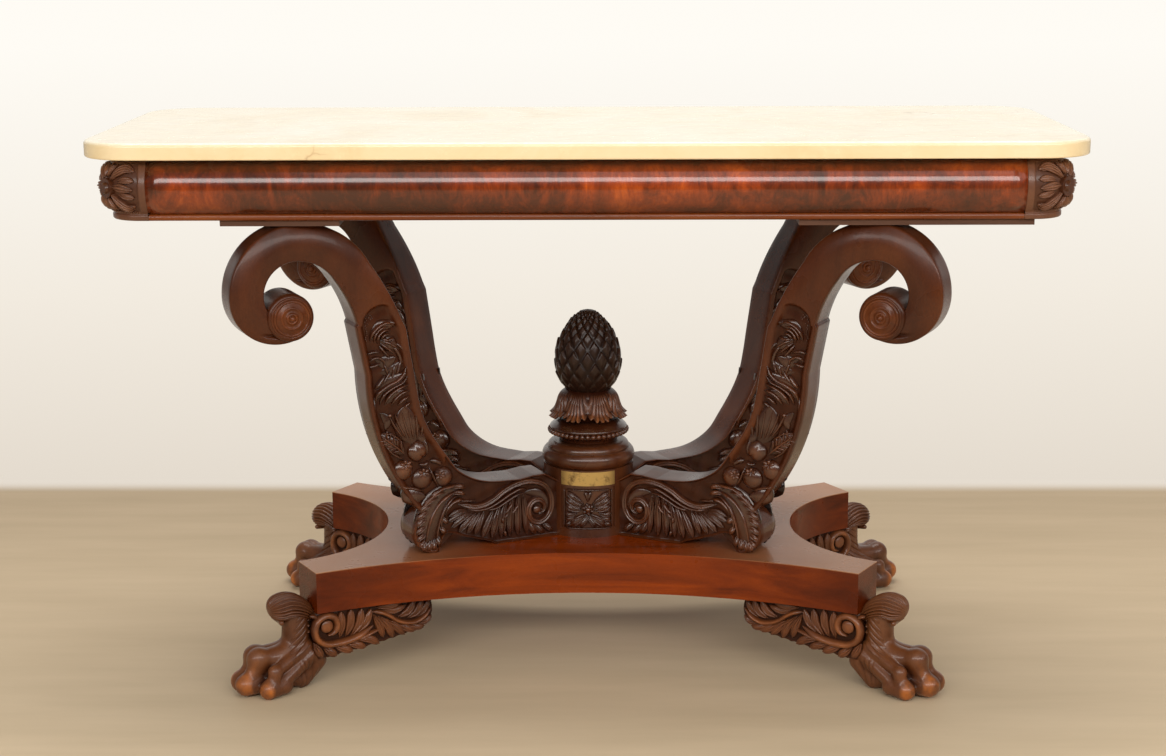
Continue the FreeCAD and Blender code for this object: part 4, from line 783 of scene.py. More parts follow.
egg = even(smooth_line([(31, 367), (42.5, 382), (48.8, 399), (50, 418), (46.8, 437), (38.6, 457), (26, 474.5),
                        (12, 486), (0.01, 489)], 170), 170)
girth = 2 * np.pi * np.maximum(egg[:, 0], 5)
climb = np.concatenate([[0], np.cumsum(np.linalg.norm(np.diff(egg, axis=0), axis=1)
                                       * 14 / ((girth[1:] + girth[:-1]) / 2))]) * 0.66
around = np.linspace(0, 2 * np.pi, 392, endpoint=False)
fade = ease(egg[:, 0], 6, 20)[:, None]
tall, mark = scale_field(14 * around / (2 * np.pi), climb[:, None],
                         4.0 * fade * (0.4 + 0.6 * ease(egg[:, 1:], 372, 410)))
plain = 0.25 + 0.75 * ease(egg[:, 1:], 375, 410)
normal = np.gradient(egg, axis=0)
normal = np.stack([normal[:, 1], -normal[:, 0]], axis=-1) / np.linalg.norm(normal, axis=1)[:, None]
radius = np.maximum(egg[:, :1] + normal[:, :1] * (tall - 3.6 * fade), 0)
rise = egg[:, 1:] + normal[:, 1:] * (tall - 3.6 * fade) + 0.9 * mark * fade
pineapple_points = np.stack([radius * np.cos(around), radius * np.sin(around), rise], axis=-1)
closing = pineapple_points[:1] * np.array([0, 0, 1.0]) + np.zeros((1, 392, 1))
# Painted shade: the grooves between diamonds and the closed foot get low levels, so they are painted darker;
# toward the bottom this contrast fades.
piece("carved_pineapple", [skin(np.concatenate([closing, pineapple_points]),
                                np.concatenate([np.zeros((1, 392)), 0.35 + (0.7 * mark - 0.2) * plain]),
                                wrap_columns=True)], dark_mahogany, ["pineapple"])

# %% [markdown]
# Below it hangs a cup of eight acanthus leaves. The cup is one spun sheet with thickness: it flares
# downward, its rim drops at each leaf's middle, and fine flutes fan out toward the rim. Inside, a
# stem stands on the domed disc. Two pairs of berries sit where each leaf meets the next.
# %% Leaf cup
def leaf_cup(leaves=8, turns=640, rows=34):
    angle = np.linspace(0, 2 * np.pi, turns, endpoint=False)
    leaf = ((angle / (2 * np.pi) * leaves) % 1) * 2 - 1
    down = np.linspace(0, 1, rows)[:, None]
    hang = 1 - 0.20 * np.abs(leaf) ** 1.6 + 0.05 * np.cos(leaf * 5 * np.pi)
    cup = smooth_line([(35, 372.5), (39.5, 368.5), (42.5, 361), (45, 352), (48.5, 343.5), (54, 337)], rows)
    along = down * hang
    out = np.interp(along, down[:, 0], cup[:, 0])
    z = np.interp(along, down[:, 0], cup[:, 1])
    fan = 1.6 * np.arctan(leaf * (1.9 - 1.1 * down))
    flutes = np.abs(np.cos(fan * 2.3 * np.pi)) ** 0.8
    fold = 1 - np.abs(leaf) ** 3
    lift = (2.4 * flutes * ease(down, 0.0, 0.45) + 3.0 * fold * ease(down, 0, 0.4) - 2.6
            + 1.8 * ease(down, 0.82, 1.0))
    # Painted shade: the troughs between flutes, the inner sheet and the stem get low levels, so the inside of
    # the cup is painted darker.
    level = np.clip(-0.1 + 0.8 * flutes * ease(down, 0, 0.4) + 0.25 * fold * down, 0, 1)
    outer = np.stack([(out + lift) * np.cos(angle), (out + lift) * np.sin(angle), z - 0.4 * lift], axis=-1)
    thin = outer[::-1] * np.array([0.93, 0.93, 1]) - np.array([0, 0, 2.0])
    stem = spun([(35, 343), (35, 329), (24, 329), (24, 368)], turns)
    points = np.concatenate([outer, thin[: rows // 2], stem])
    marks = np.concatenate([level, level[::-1][: rows // 2] * 0.3, np.full((4, turns), 0.1)])
    return skin(points, marks, wrap_rows=True, wrap_columns=True)


def on_column(centre, radius, raised):
    """Lay (across, height above floor, height off the ground) round the column."""
    def put(across, z, height):
        angle = centre + across / radius
        return ((radius + raised + height) * np.cos(angle), (radius + raised + height) * np.sin(angle), z)
    return put


berries = []
for gap in np.arange(8) / 8 * 2 * np.pi:
    berries += laid([ball(-2.6, 360.5, 2.7, 0.3, parts=(8, 12)), ball(2.6, 360.5, 2.7, 0.3, parts=(8, 12)),
                     rib([(0, 358), (0, 350)], 6, 3.2, tip=0.7)], on_column(gap, 38, 0.6))
    berries += laid([ball(-2.2, 348.5, 2.0, 0.3, parts=(8, 12)), ball(2.2, 348.5, 2.0, 0.3, parts=(8, 12)),
                     rib([(0, 347), (0, 341)], 5, 3.0, tip=0.7)], on_column(gap, 42, 0.4))
piece("acanthus_cup", [leaf_cup()] + berries, bracket_mahogany, ["leaf_calyx"])

# %% [markdown]
# The turned stack under the cup is a domed disc with a string of beads cut round its lower edge,
# and a wider collar with a half-round foot. The collar and the drum keep their own turned meshes.
# %% Beaded disc and drum carving
BEADS, BEAD_LINE, BEAD_SIZE, BEAD_HEIGHT = 44, 55.2, 3.8, 313.0
dome = path([(42, 297.4), (42.3, 301)], arc((42.3, 301), (52.5, 308.6), -13, 8), [(53, 310), (53.4, 315.5)],
            arc((53.4, 315.5), (55.6, 318), 3.2, 5), arc((55.6, 318), (54, 320.8), 3, 4),
            arc((54, 320.8), (39, 329.5), 30, 10))


def bead(t):
    p, q = np.meshgrid(np.linspace(0, np.pi, 9), np.linspace(0, 2 * np.pi, 14, endpoint=False),
                       indexing="ij")
    points = np.stack([BEAD_LINE * np.cos(t) + BEAD_SIZE * np.sin(p) * np.cos(q),
                       BEAD_LINE * np.sin(t) + BEAD_SIZE * np.sin(p) * np.sin(q),
                       BEAD_HEIGHT + BEAD_SIZE * np.cos(p)], axis=-1)
    return skin(points, 0.9, wrap_columns=True)


beads = [bead(t) for t in np.arange(BEADS) * 2 * np.pi / BEADS]
disc = spun(path([(0.001, 297.4)], dome, [(0.001, 329.5)]), 128)
piece("beaded_dome", [skin(disc, 0.6, wrap_columns=True)] + beads, carved_mahogany, ["beaded_disc"])


def drum_panel():
    """A rosette with two fluted wings over it and two hanging leaves under it."""
    carving = [rib([(-4, 236), (-1.5, 228), (0, 220)], 7, 4.0, start=0.1, tip=0.6),
               rib([(4, 236), (1.5, 228), (0, 220)], 7, 4.0, start=0.1, tip=0.6),
               ball(0, 209.5, 8.4, -0.1, 0.62), ball(0, 209.5, 3.6, 1.2, 0.8)]
    carving += [rib([(3.4 * math.cos(t), 209.5 + 3.4 * math.sin(t)),
                     (9.4 * math.cos(t + 0.5), 209.5 + 9.4 * math.sin(t + 0.5))], 5, 3.0, tip=0.4, base=2.6)
                for t in np.arange(6) * np.pi / 3 + 0.3]
    for s in (-1, 1):
        carving += leaves(*[([(s * a, z) for a, z in run], wide) for run, wide in (
            ([(5, 215), (17, 223), (31, 234)], 10), ([(7, 212), (19, 216), (34, 225)], 10),
            ([(8, 208), (19, 208.5), (34, 215)], 10))], high=5.4)
        carving += leaves(*[([(s * a, z) for a, z in run], wide) for run, wide in (
            ([(1, 203), (11, 195), (27, 183)], 13), ([(0, 202), (5, 192), (12, 183)], 9),
            ([(15, 203), (25, 200), (35, 204)], 7), ([(18, 199), (27, 194), (35, 194)], 7),
            ([(22, 191), (30, 186), (35, 184)], 6.5))], high=5.0)
    carving += [rib([(-35, 180), (-12, 180.5), (12, 180.5), (35, 180)], 3.6, 3.6, start=0.05, tip=0.05),
                rib([(-35, 237), (-12, 237.5), (12, 237.5), (35, 237)], 3.0, 3.0, start=0.05, tip=0.05),
                *[rib([(s * 36, 180), (s * 36, 208), (s * 36, 237)], 3.0, 3.0, start=0.05, tip=0.05)
                  for s in (-1, 1)]]
    return carving


piece("drum_carving", [s for centre in (-np.pi / 2, np.pi / 2)
                       for s in laid(drum_panel(), on_column(centre, 65, -2.2))], carved_mahogany)

# %% [markdown]
# Each face of a scroll ends in a turned boss glued over the scroll's eye: a small button in a ring,
# a shallow dish with one low ring in it, and two beads and a rounded shoulder outside.
# %% Volute bosses
boss = path([(0.001, 12.6), (1.8, 12.2)], arc((1.8, 12.2), (3.9, 9.0), -3, 5),
            arc((4.3, 8.6), (8, 8.2), -1.95, 7), [(8.4, 7.2), (12, 7.4)],
            arc((12.4, 7.6), (15.4, 7.6), -1.7, 6), [(15.8, 7.0), (20.4, 7.8), (21, 6.9)],
            arc((21.4, 7.1), (24.6, 6.8), -1.75, 7), [(25, 5.9)], arc((25.2, 5.9), (28, 5.3), -1.6, 7),
            [(28.2, 4.4)], arc((28.4, 4.4), (31.6, 0.6), -4.4, 8), [(31.7, -3), (0.001, -3)])
turn = np.linspace(0, 2 * np.pi, 72, endpoint=False)
boss_skins = []
for corner in corners:
    for side in (1, -1):
        put = on_leg(corner, side)
        x, y, z = put(EYE[0] + boss[:, :1] * np.cos(turn), EYE[1] + boss[:, :1] * np.sin(turn),
                      SUNK + boss[:, 1:] + 0 * turn)
        # Painted shade: the level falls with the boss's height, so its low rings are painted darker.
        boss_skins.append(skin(np.stack([x, y, z], axis=-1), np.clip(boss[:, 1:] / 9, 0, 1) * 0.5 + 0.45,
                               wrap_columns=True))
piece("turned_bosses", boss_skins, board_mahogany, ["volute_bosses"])

# %% [markdown]
# A paw foot is carved from one block: heel, palm, four toes bent over at the knuckle, a neck wrapped
# in a leaf, and a rolled leaf tip as wide as a hand that leans on the slab's clipped corner. The
# rolled tip and its lip are tubes with rounded ends, along a line of (out, across, height, radius,
# width). Flutes run along the tube, because a leaf's veins run to its tip.
# %% Tubes for the feet
FOOT_SPOT, FOOT_TURN = np.array([384.0, 198.0]), math.radians(30.65)


def tube(stations, level, around=36, ribs=0, depth=0.0, steps=40):
    """Closed skin round a line; ribs flutes of that depth run along it."""
    line = smooth_line(stations, steps)
    forward = np.gradient(line[:, :3], axis=0)
    forward /= np.linalg.norm(forward, axis=1)[:, None]
    bend = np.radians(np.linspace(0, 90, 8)[1:])
    tail = line[:1] + 0 * bend[:, None]
    tail[:, :3] -= forward[0] * line[0, 3] * np.sin(bend)[:, None]
    tail[:, 3] *= np.cos(bend)
    nose = line[-1:] + 0 * bend[:, None]
    nose[:, :3] += forward[-1] * line[-1, 3] * np.sin(bend)[:, None]
    nose[:, 3] *= np.cos(bend)
    line = np.concatenate([tail[::-1], line, nose])
    forward = np.concatenate([np.repeat(forward[:1], 7, 0), forward, np.repeat(forward[-1:], 7, 0)])
    side = np.array([0, 1.0, 0]) - forward * forward[:, 1:2]
    side /= np.linalg.norm(side, axis=1)[:, None]
    over = np.cross(forward, side)
    angle = np.linspace(0, 2 * np.pi, around, endpoint=False)
    wave = np.abs(np.cos(ribs * angle / 2)) ** 0.7 if ribs else 1 + 0 * angle
    radius = line[:, 3:4] * (1 - depth * (1 - wave))
    points = (line[:, None, :3] + (radius * np.cos(angle))[..., None] * over[:, None]
              + (radius * line[:, 4:5] * np.sin(angle))[..., None] * side[:, None])
    # Painted shade: the level is lower in the flutes' troughs.
    marks = level - 0.35 * (1 - wave) * min(1, depth * 8) + 0 * points[..., 0]
    points[..., 2] = np.maximum(points[..., 2], 0)
    return points, np.clip(marks, 0, 1)


# %% [markdown]
# The paw itself is one smooth skin. Its masses are rods with rounded ends and eggs, and where two
# meet a fillet fills the corner, as a carver's gouge would leave it. From a point inside, rays go
# out in every direction and each is followed to the last place where it leaves the masses. The two
# inner toes lie close together, reach furthest and stand on the highest knuckles. The outer toes
# are set back and lower, each with a tendon that runs up to the neck. The neck's leaf is laid on
# the paw's own side, which is found by halving the space between its middle and its widest point.
# %% Paw masses
def rod(points, start, stop, first, last):
    """Distance to a rod with round ends, whose radius runs from first to last."""
    start, run = np.array(start, float), np.subtract(stop, start).astype(float)
    t = np.clip((points - start) @ run / (run @ run), 0, 1)
    return np.linalg.norm(points - start - t[..., None] * run, axis=-1) - (first + (last - first) * t)


def egg_distance(points, centre, half):
    near = (points - np.array(centre, float)) / half
    size = np.linalg.norm(near, axis=-1)
    return size * (size - 1) / np.maximum(np.linalg.norm(near / np.array(half, float), axis=-1), 1e-9)


def filleted(first, second, reach):
    """The smaller of two distances, with a fillet of that reach where they are nearly equal."""
    h = np.clip(0.5 + 0.5 * (second - first) / reach, 0, 1)
    return second + (first - second) * h - reach * h * (1 - h)


def paw_distance(points):
    points = points.copy()
    points[..., 1] = np.abs(points[..., 1])
    body = filleted(egg_distance(points, (48, 0, 26), (34, 25, 26)),
                    rod(points, (18, 9, 13), (-3, 9, 36), 14, 16), 10)
    body = filleted(body, egg_distance(points, (42, 0, 40), (38, 22, 20)), 8)
    body = filleted(body, rod(points, (20, 0, 54), (21, 0, 104), 20, 18), 20)
    body = filleted(body, rod(points, (22, 5, 52), (74, 7, 50), 13, 13.5), 8)
    body = filleted(body, rod(points, (6, 15, 47), (54, 28.5, 19), 12, 10), 5)
    body = filleted(body, rod(points, (10, 14, 59), (58, 29, 38.5), 9, 7.5), 4)
    inner = filleted(rod(points, (78, 6.5, 51.5), (79, 6.5, 51), 15.5, 15.5),
                     rod(points, (80, 7, 42), (92, 8, 24), 12, 11.5), 6)
    inner = filleted(inner, rod(points, (66, 8, 14), (97.5, 8.5, 18), 12, 15.4), 4)
    outer = filleted(rod(points, (63, 30, 37.5), (64, 30, 37), 9.4, 9.4),
                     rod(points, (64, 31, 31), (69, 31, 20), 8.5, 10), 4)
    outer = filleted(outer, rod(points, (50, 28.5, 14), (73.5, 31, 13.5), 11.5, 13.4), 4)
    return filleted(filleted(body, inner, 4), outer, 2.5)


def paw_skin(rows=120, turns=216):
    polar, azimuth = np.meshgrid(np.linspace(0, np.pi, rows),
                                 np.linspace(0, 2 * np.pi, turns, endpoint=False), indexing="ij")
    ray = np.stack([np.sin(polar) * np.cos(azimuth), np.sin(polar) * np.sin(azimuth), np.cos(polar)],
                   axis=-1)
    heart = np.array([38.0, 0, 32.0])
    tries = np.linspace(6, 96, 46)
    inside = np.stack([paw_distance(heart + t * ray) < 0 for t in tries])
    last = len(tries) - 1 - np.argmax(inside[::-1], axis=0)
    near, far = tries[last], tries[np.minimum(last + 1, len(tries) - 1)]
    for _ in range(9):
        half = (near + far) / 2
        within = paw_distance(heart + half[..., None] * ray) < 0
        near, far = np.where(within, half, near), np.where(within, far, half)
    reach = (near + far) / 2
    smooth = sum(np.roll(reach, k, axis=1) for k in range(-9, 10)) / 19
    a, z = heart[0] + reach * ray[..., 0], heart[2] + reach * ray[..., 2]
    fur = ease(30 - a, 0, 12) * ease(50 - z, 0, 10)
    wave = np.abs(np.cos(19 * azimuth + 0.05 * z)) ** 0.7
    # Painted shade: where the skin dips below its neighbours and in the fur grooves the level is lower, so it
    # is painted darker; the toe tips get a higher level for real wear.
    level = (0.56 + 0.06 * (reach - smooth) - 0.3 * fur * (1 - wave)
             + 0.4 * ease(a, 58, 84) * ease(30 - z, 0, 16))
    reach = reach - 1.5 * fur * (1 - wave)
    reach = np.minimum(reach, heart[2] / np.maximum(-ray[..., 2], 1e-6))
    points = heart + reach[..., None] * ray
    points[..., 2] = np.maximum(points[..., 2], 0)
    return points, np.clip(level, 0, 1)


paw = [paw_skin(),
       tube([(4, 0, 104, 11, 2.0), (13, 0, 111, 14, 1.85), (24, 0, 116, 17, 1.62), (34, 0, 117.6, 18.6, 1.45),
             (41, 0, 116.5, 18.6, 1.40)], 0.66, around=160, ribs=22, depth=0.22),
       tube([(46, -15, 99, 3.5, 1), (43, 0, 98, 4.5, 1), (46, 15, 99, 3.5, 1)], 0.6)]
neck_leaf = [rib(points, wide, 4.4, groove=0.3, tip=0.5) for points, wide in (
    ([(4, 113), (15, 106), (27, 96)], 7.5), ([(3, 107), (16, 96), (30, 84)], 8),
    ([(3, 99), (17, 86), (33, 72)], 8), ([(3, 91), (18, 77), (38, 62)], 8),
    ([(3, 82), (18, 68), (40, 55)], 8), ([(4, 73), (18, 61), (36, 51)], 7.5))]
neck_leaf += [rib([(1 + k, 113 - 8 * k), (6 + k, 111 - 8 * k)], 6, 6, tip=0.5) for k in range(5)]


def paw_side(a, z):
    """How far across the paw's skin stands at a point of its side view."""
    near, far = np.zeros(a.shape), np.full(a.shape, 46.0)
    for _ in range(14):
        half = (near + far) / 2
        within = paw_distance(np.stack([a, half, np.broadcast_to(z, a.shape)], axis=-1)) < 0
        near, far = np.where(within, half, near), np.where(within, far, half)
    return np.maximum((near + far) / 2, 9)


print("masses in a paw:", len(paw), "ribs on its neck:", 2 * len(neck_leaf))

# %% [markdown]
# Behind each paw a carved bracket runs in under the slab. Its lower edge is scalloped by leaf tips,
# and both faces carry a volute, a fan of flutes, and a second wave with leaves that dies into a
# rounded end. The paw end is the origin: out is positive, in under the slab is negative.
# %% Bracket board and carving
top_line = even(np.array([(-0.3, 108.35), (-60, 108.35), (-171, 108.35)]), 120)
low_line = even(smooth_line([(-0.3, 40), (-20, 41), (-50, 43.5), (-85, 46.5), (-100, 48.5), (-125, 52),
                             (-152, 57), (-168, 65), (-175.5, 80), (-174, 98), (-171, 108.2)], 200), 120)
low_line[1:-1, 1] += (1.6 * np.abs(np.sin(np.linspace(0, 15 * np.pi, 120))) - 0.8)[1:-1]
HALF_BRACKET, BRACKET_SUNK = 29.0, 3.0


def bracket_board():
    across = top_line - low_line
    wide = np.maximum(np.hypot(*across.T), 0.4)[:, None]
    unit = across / wide
    d = np.linspace(0, 1, 26) * (wide - np.minimum(4, wide * 0.5)) + np.minimum(2, wide * 0.25)
    sink = ease(d, 0, 4) * ease(wide - d, 0.5, 2.5) * BRACKET_SUNK
    turn = np.linspace(1, -1, 8)[1:-1] * (HALF_BRACKET - 2)
    rim = np.broadcast_to(turn, (len(wide), len(turn)))
    far = np.concatenate([d, wide + 0 * rim, d[:, ::-1], 0 * rim], axis=1)
    off = np.concatenate([HALF_BRACKET - sink, rim, -(HALF_BRACKET - sink)[:, ::-1], -rim], axis=1)
    # Painted shade: the sunk ground gets a lower level, so it is painted darker.
    ground = 0.5 - 0.16 * sink
    level = np.concatenate([ground, 0.5 + 0 * rim, ground[:, ::-1], 0.5 + 0 * rim], axis=1)
    flat = low_line[:, None] + unit[:, None] * far[..., None]
    board = np.stack([flat[..., 0], off, flat[..., 1]], axis=-1)
    caps = [board[[k]].mean(axis=1, keepdims=True) + 0 * board[:1] for k in (0, -1)]
    return np.concatenate([caps[0], board, caps[1]]), np.concatenate([level[:1], level, level[-1:]])


wave_band = [
    rib([(-84, 76), (-74, 70), (-62, 65), (-48, 61.5), (-30, 60), (-12, 62), (-1, 70), (3, 84), (-2, 97),
         (-14, 102.5), (-26, 98), (-30, 87), (-25, 77), (-15, 74)], 10.5, 8.5, tip=0.10, start=0.1,
        across=9),
    rib([(-82, 96), (-96, 93), (-108, 86), (-120, 77), (-134, 71.5), (-148, 70.5), (-161, 76), (-172, 87)],
        7, 8, start=0.1, tip=0.15, across=9),
    rib([(-50, 58), (-68, 62), (-84, 67), (-102, 70)], 6, 6.5, tip=0.5),
    ball(-14, 87.5, 9, 0.45, 0.32), rib([(-2, 100), (3, 104), (10, 106)], 6, 5)]
flutes = leaves(([(-33, 67), (-36, 84), (-36, 105)], 12), ([(-42, 67), (-49, 84), (-51, 106)], 12),
                ([(-50, 67), (-62, 82), (-67, 104)], 12), ([(-58, 70), (-72, 82), (-81, 101)], 11), high=5.6)
flutes += leaves(([(-88, 101), (-106, 100), (-128, 103)], 9), ([(-98, 95), (-114, 92), (-134, 97)], 9),
                 ([(-122, 81), (-138, 88), (-147, 103)], 11), ([(-136, 77), (-150, 84), (-159, 102)], 11),
                 ([(-149, 76), (-160, 84), (-170, 101)], 9), high=5.4)
low_leaves = leaves(
    ([(5, 66), (-1, 54), (-7, 43)], 12), ([(-8, 58), (-18, 50), (-28, 42)], 13),
    ([(-24, 57), (-38, 51), (-52, 44)], 13), ([(-42, 57), (-57, 53), (-72, 46.5)], 12),
    ([(-58, 60), (-76, 58), (-92, 48)], 13), ([(-84, 92), (-92, 76), (-98, 56)], 12),
    ([(-92, 88), (-106, 70), (-113, 52.5)], 13), ([(-104, 80), (-120, 66), (-131, 54)], 13),
    ([(-118, 73), (-135, 63), (-148, 57)], 12), ([(-134, 68), (-150, 62), (-162, 62)], 11),
    ([(-150, 68), (-163, 68), (-173, 76)], 9), veins=3, high=5.6)
low_leaves += [ball(-104, 78, 4.0, 0.2, 0.8), ball(-112, 66, 3.2, 0.8, 0.6), ball(-60, 76, 2.6, 0.8, 0.6)]
bracket_carving = low_leaves + flutes + wave_band


def on_foot(corner, side=1):
    sx, sy = corners[corner]
    out = np.array([math.cos(FOOT_TURN) * sx, math.sin(FOOT_TURN) * sy])
    normal = np.array([-out[1], out[0]]) * side

    def put(a, b, z):
        return np.stack([FOOT_SPOT[0] * sx + out[0] * a + normal[0] * b,
                         FOOT_SPOT[1] * sy + out[1] * a + normal[1] * b, z + 0 * a], axis=-1)
    return put


board, board_level = bracket_board()
for corner in corners:
    put = on_foot(corner)
    skins = [skin(put(p[..., 0], p[..., 1], p[..., 2]), level, wrap_columns=True) for p, level in paw]
    wing = [skin(put(board[..., 0], board[..., 1], board[..., 2]), board_level, wrap_columns=True)]
    for side in (1, -1):
        face = on_foot(corner, side)
        skins += [skin(face(a, paw_side(a, z) - 1.4 + h, z), level, wrap_columns=wrap)
                  for a, z, h, level, wrap in neck_leaf]
        wing += [skin(face(a, HALF_BRACKET - BRACKET_SUNK + h, z), level, wrap_columns=wrap)
                 for a, z, h, level, wrap in bracket_carving]
    piece(f"{corner}_paw", skins, worn_mahogany, [f"{corner}_paw_foot"])
    piece(f"{corner}_bracket_carving", wing, bracket_mahogany, [f"{corner}_foot_bracket"])

# %% [markdown]
# The apron is a broad half-round moulding, veneered, with a small flat fillet over it and a bead
# strip under it. At each corner a carved block takes its place: the round turns the corner, and
# ribbed leaves spring both ways from a button in the middle. The round is an arc 69 high and 16
# deep, which gives its radius.
# %% Round mouldings
ROUND_FOOT, ROUND_TOP, ROUND_OUT = 659, 728, 30
ROUND_RADIUS = (34.5**2 + 16**2) / 32


def moulding_profile():
    """(out from the rail face, height), from the foot of the round up to its top."""
    return arc((14, ROUND_FOOT), (14, ROUND_TOP), ROUND_RADIUS, 30)


round_points = np.concatenate([[(0.2, ROUND_FOOT)], moulding_profile(), [(0.2, ROUND_TOP)]])
mouldings = []
for turned, face, half in ((0, 210, 569.8), (1, 610, 169.8)):
    for s in (-1, 1):
        run = np.concatenate([[-half], np.linspace(-half, half, 60), [half]])
        out = s * (face + round_points[:, 0] + 0 * run[:, None])
        z = round_points[:, 1] + 0 * run[:, None]
        x = run[:, None] + 0 * z
        grid = np.stack([out, x, z] if turned else [x, out, z], axis=-1)
        grid[0] = grid[0].mean(axis=0)
        grid[-1] = grid[-1].mean(axis=0)
        mouldings.append(skin(grid, 0.6, wrap_columns=True))
piece("veneered_round", mouldings, veneer,
      [f"{side}_apron_torus" for side in ("front", "back", "left", "right")])

# %% [markdown]
# A corner block's surface is one profile swept round the corner: bead, round, fillet. Inside a
# plain border the round is cut back, and grooved leaves are laid on it round a button.
# %% Corner blocks
BEND, STRAIGHT = 28.0, 12.0
block_profile = np.concatenate([
    [(-27.9, 650.1), (13.5, 650.1)], arc((13.5, 650.1), (16, 652.5), 2.5, 3), [(16, 656.5)],
    arc((16, 656.5), (13.8, 658.8), 2.5, 3)[1:], moulding_profile()[1:],
    [(12, 728.2), (12, 731.9), (-27.9, 731.9)]])
corner_turn = np.radians(90)
girth_at_round = 2 * STRAIGHT + (BEND + ROUND_OUT) * corner_turn


def corner_plan(run, out):
    """Plan point of a block: run 0..length along the round, out from the rail faces."""
    angle = np.clip((run - STRAIGHT) / (BEND + ROUND_OUT), 0, corner_turn)
    before, after = np.maximum(STRAIGHT - run, 0), np.maximum(run - girth_at_round + STRAIGHT, 0)
    x = 582 + (BEND + out) * np.sin(angle) - before
    y = 182 + (BEND + out) * np.cos(angle) - after
    return x, y


def corner_block():
    run = np.concatenate([np.linspace(0.1, 14, 12), np.linspace(15, girth_at_round - 15, 90),
                          np.linspace(girth_at_round - 14, girth_at_round - 0.1, 12)])[:, None]
    out, z = block_profile.T
    border = ease(run, 8.5, 10) * (1 - ease(run, girth_at_round - 10, girth_at_round - 8.5))
    cut = 1.8 * border * ease(z, 660, 664) * (1 - ease(z, 723, 727))
    x, y = corner_plan(run, out - cut)
    points = np.stack([x, y, z + 0 * x], axis=-1)
    caps = [points[[k]].mean(axis=1, keepdims=True) + 0 * points[:1] for k in (0, -1)]
    # Painted shade: the cut-back round gets a lower level, so it is painted darker.
    level = 0.6 - 0.2 * cut
    return (np.concatenate([caps[0], points, caps[1]]),
            np.concatenate([level[:1], level, level[-1:]]))


def round_out(z):
    """How far the round stands out from the rail face at height z."""
    from_middle = z - (ROUND_FOOT + ROUND_TOP) / 2
    return ROUND_OUT - ROUND_RADIUS + np.sqrt(np.maximum(ROUND_RADIUS**2 - from_middle**2, 0))


half_leaves = leaves(([(51, 703), (41, 714), (27, 720), (14, 716)], 15),
                     ([(50, 688), (40, 676), (27, 667), (14, 671)], 15),
                     ([(56, 708), (52, 717), (45, 724)], 9), ([(56, 682), (52, 672), (46, 664)], 10),
                     veins=4, high=6.4, tip=0.45)
half_leaves += leaves(([(48, 695.5), (35, 695), (16, 692)], 13), veins=3, high=5.6, tip=0.6)
half_leaves += leaves(([(40, 702), (28, 705), (14, 704)], 9), ([(38, 688), (27, 684), (14, 682)], 9),
                      high=4.6)
half_leaves += [rib([(57.5, 680), (57.5, 672), (57.5, 662)], 6.5, 5.0, tip=0.35, start=0.4),
                rib([(57.5, 711), (57.5, 718), (57.5, 726)], 6.5, 5.0, tip=0.35, start=0.4)]
half_leaves += [rib([(13 + 3.6 * k, 662.5), (15 + 3.6 * k, 660.5)], 3.6, 3.0) for k in range(12)]
block, block_level = corner_block()
button = [ball(girth_at_round / 2, 695.5, 9.5, -0.3, 0.75), ball(girth_at_round / 2, 695.5, 4.2, 0.95, 0.6)]
core_corners = np.array([[(570.1, 170.1, z), (611, 170.1, z), (611, 211, z), (570.1, 211, z)]
                         for z in (650.2, 731.8)])
core = np.concatenate([core_corners[:1].mean(axis=1, keepdims=True) + 0 * core_corners[:1], core_corners,
                       core_corners[1:].mean(axis=1, keepdims=True) + 0 * core_corners[:1]])
for corner, (sx, sy) in corners.items():
    flip = np.array([sx, sy, 1])
    skins = [skin(block * flip, block_level, wrap_columns=True), skin(core * flip, 0.5, wrap_columns=True)]
    for mirrored in (False, True):
        for a, z, h, level, wrap in half_leaves + (button if not mirrored else []):
            run = girth_at_round - a if mirrored else a
            x, y = corner_plan(run, round_out(z) - 1.8 + h)
            skins.append(skin(np.stack([x, y, z], axis=-1) * flip, level, wrap_columns=wrap))
    piece(f"{corner}_carved_block", skins, block_mahogany, [f"{corner}_corner_block"])

# %% [markdown]
# The marble is one slab with softly rounded edges: its plan outline is drawn once and the edge
# profile runs round it, with rings close to the edge so that the flat top stays flat.
# %% Marble top
half_x, half_y, corner_round = 660.0, 252.0, 74.0
stone_under, stone_top = 732.05, 754.0
plan = np.concatenate([
    [(half_x - corner_round, -half_y)],
    arc((half_x - corner_round, -half_y), (half_x, corner_round - half_y), corner_round, 20),
    arc((half_x, half_y - corner_round), (half_x - corner_round, half_y), corner_round, 20),
    arc((corner_round - half_x, half_y), (-half_x, half_y - corner_round), corner_round, 20),
    arc((-half_x, corner_round - half_y), (corner_round - half_x, -half_y), corner_round, 20)])
plan = even(np.concatenate([plan, plan[:1]]), 481)[:-1]
along = np.roll(plan, -1, axis=0) - np.roll(plan, 1, axis=0)
inward = np.stack([-along[:, 1], along[:, 0]], axis=-1) / np.linalg.norm(along, axis=1)[:, None]
edge = np.concatenate([[(40, stone_under), (6, stone_under)],
                       arc((2.2, stone_under), (0, 734.2), -2.2, 4), [(0, 740), (0, 748.5)],
                       arc((0, 748.5), (5.5, stone_top), -5.5, 8),
                       [(7, stone_top), (12, stone_top), (40, stone_top)]])
rings = plan[None] + inward[None] * edge[:, :1, None]
stone = np.concatenate([rings, edge[:, 1:2, None] + 0 * rings[..., :1]], axis=-1)
middle = [np.array([[[0.0, 0.0, z]]]) + 0 * stone[:1] for z in (stone_under, stone_top)]
piece("marble_slab", [skin(np.concatenate([middle[0], stone, middle[1]]), 0.5, wrap_columns=True)], marble,
      ["marble_top"])

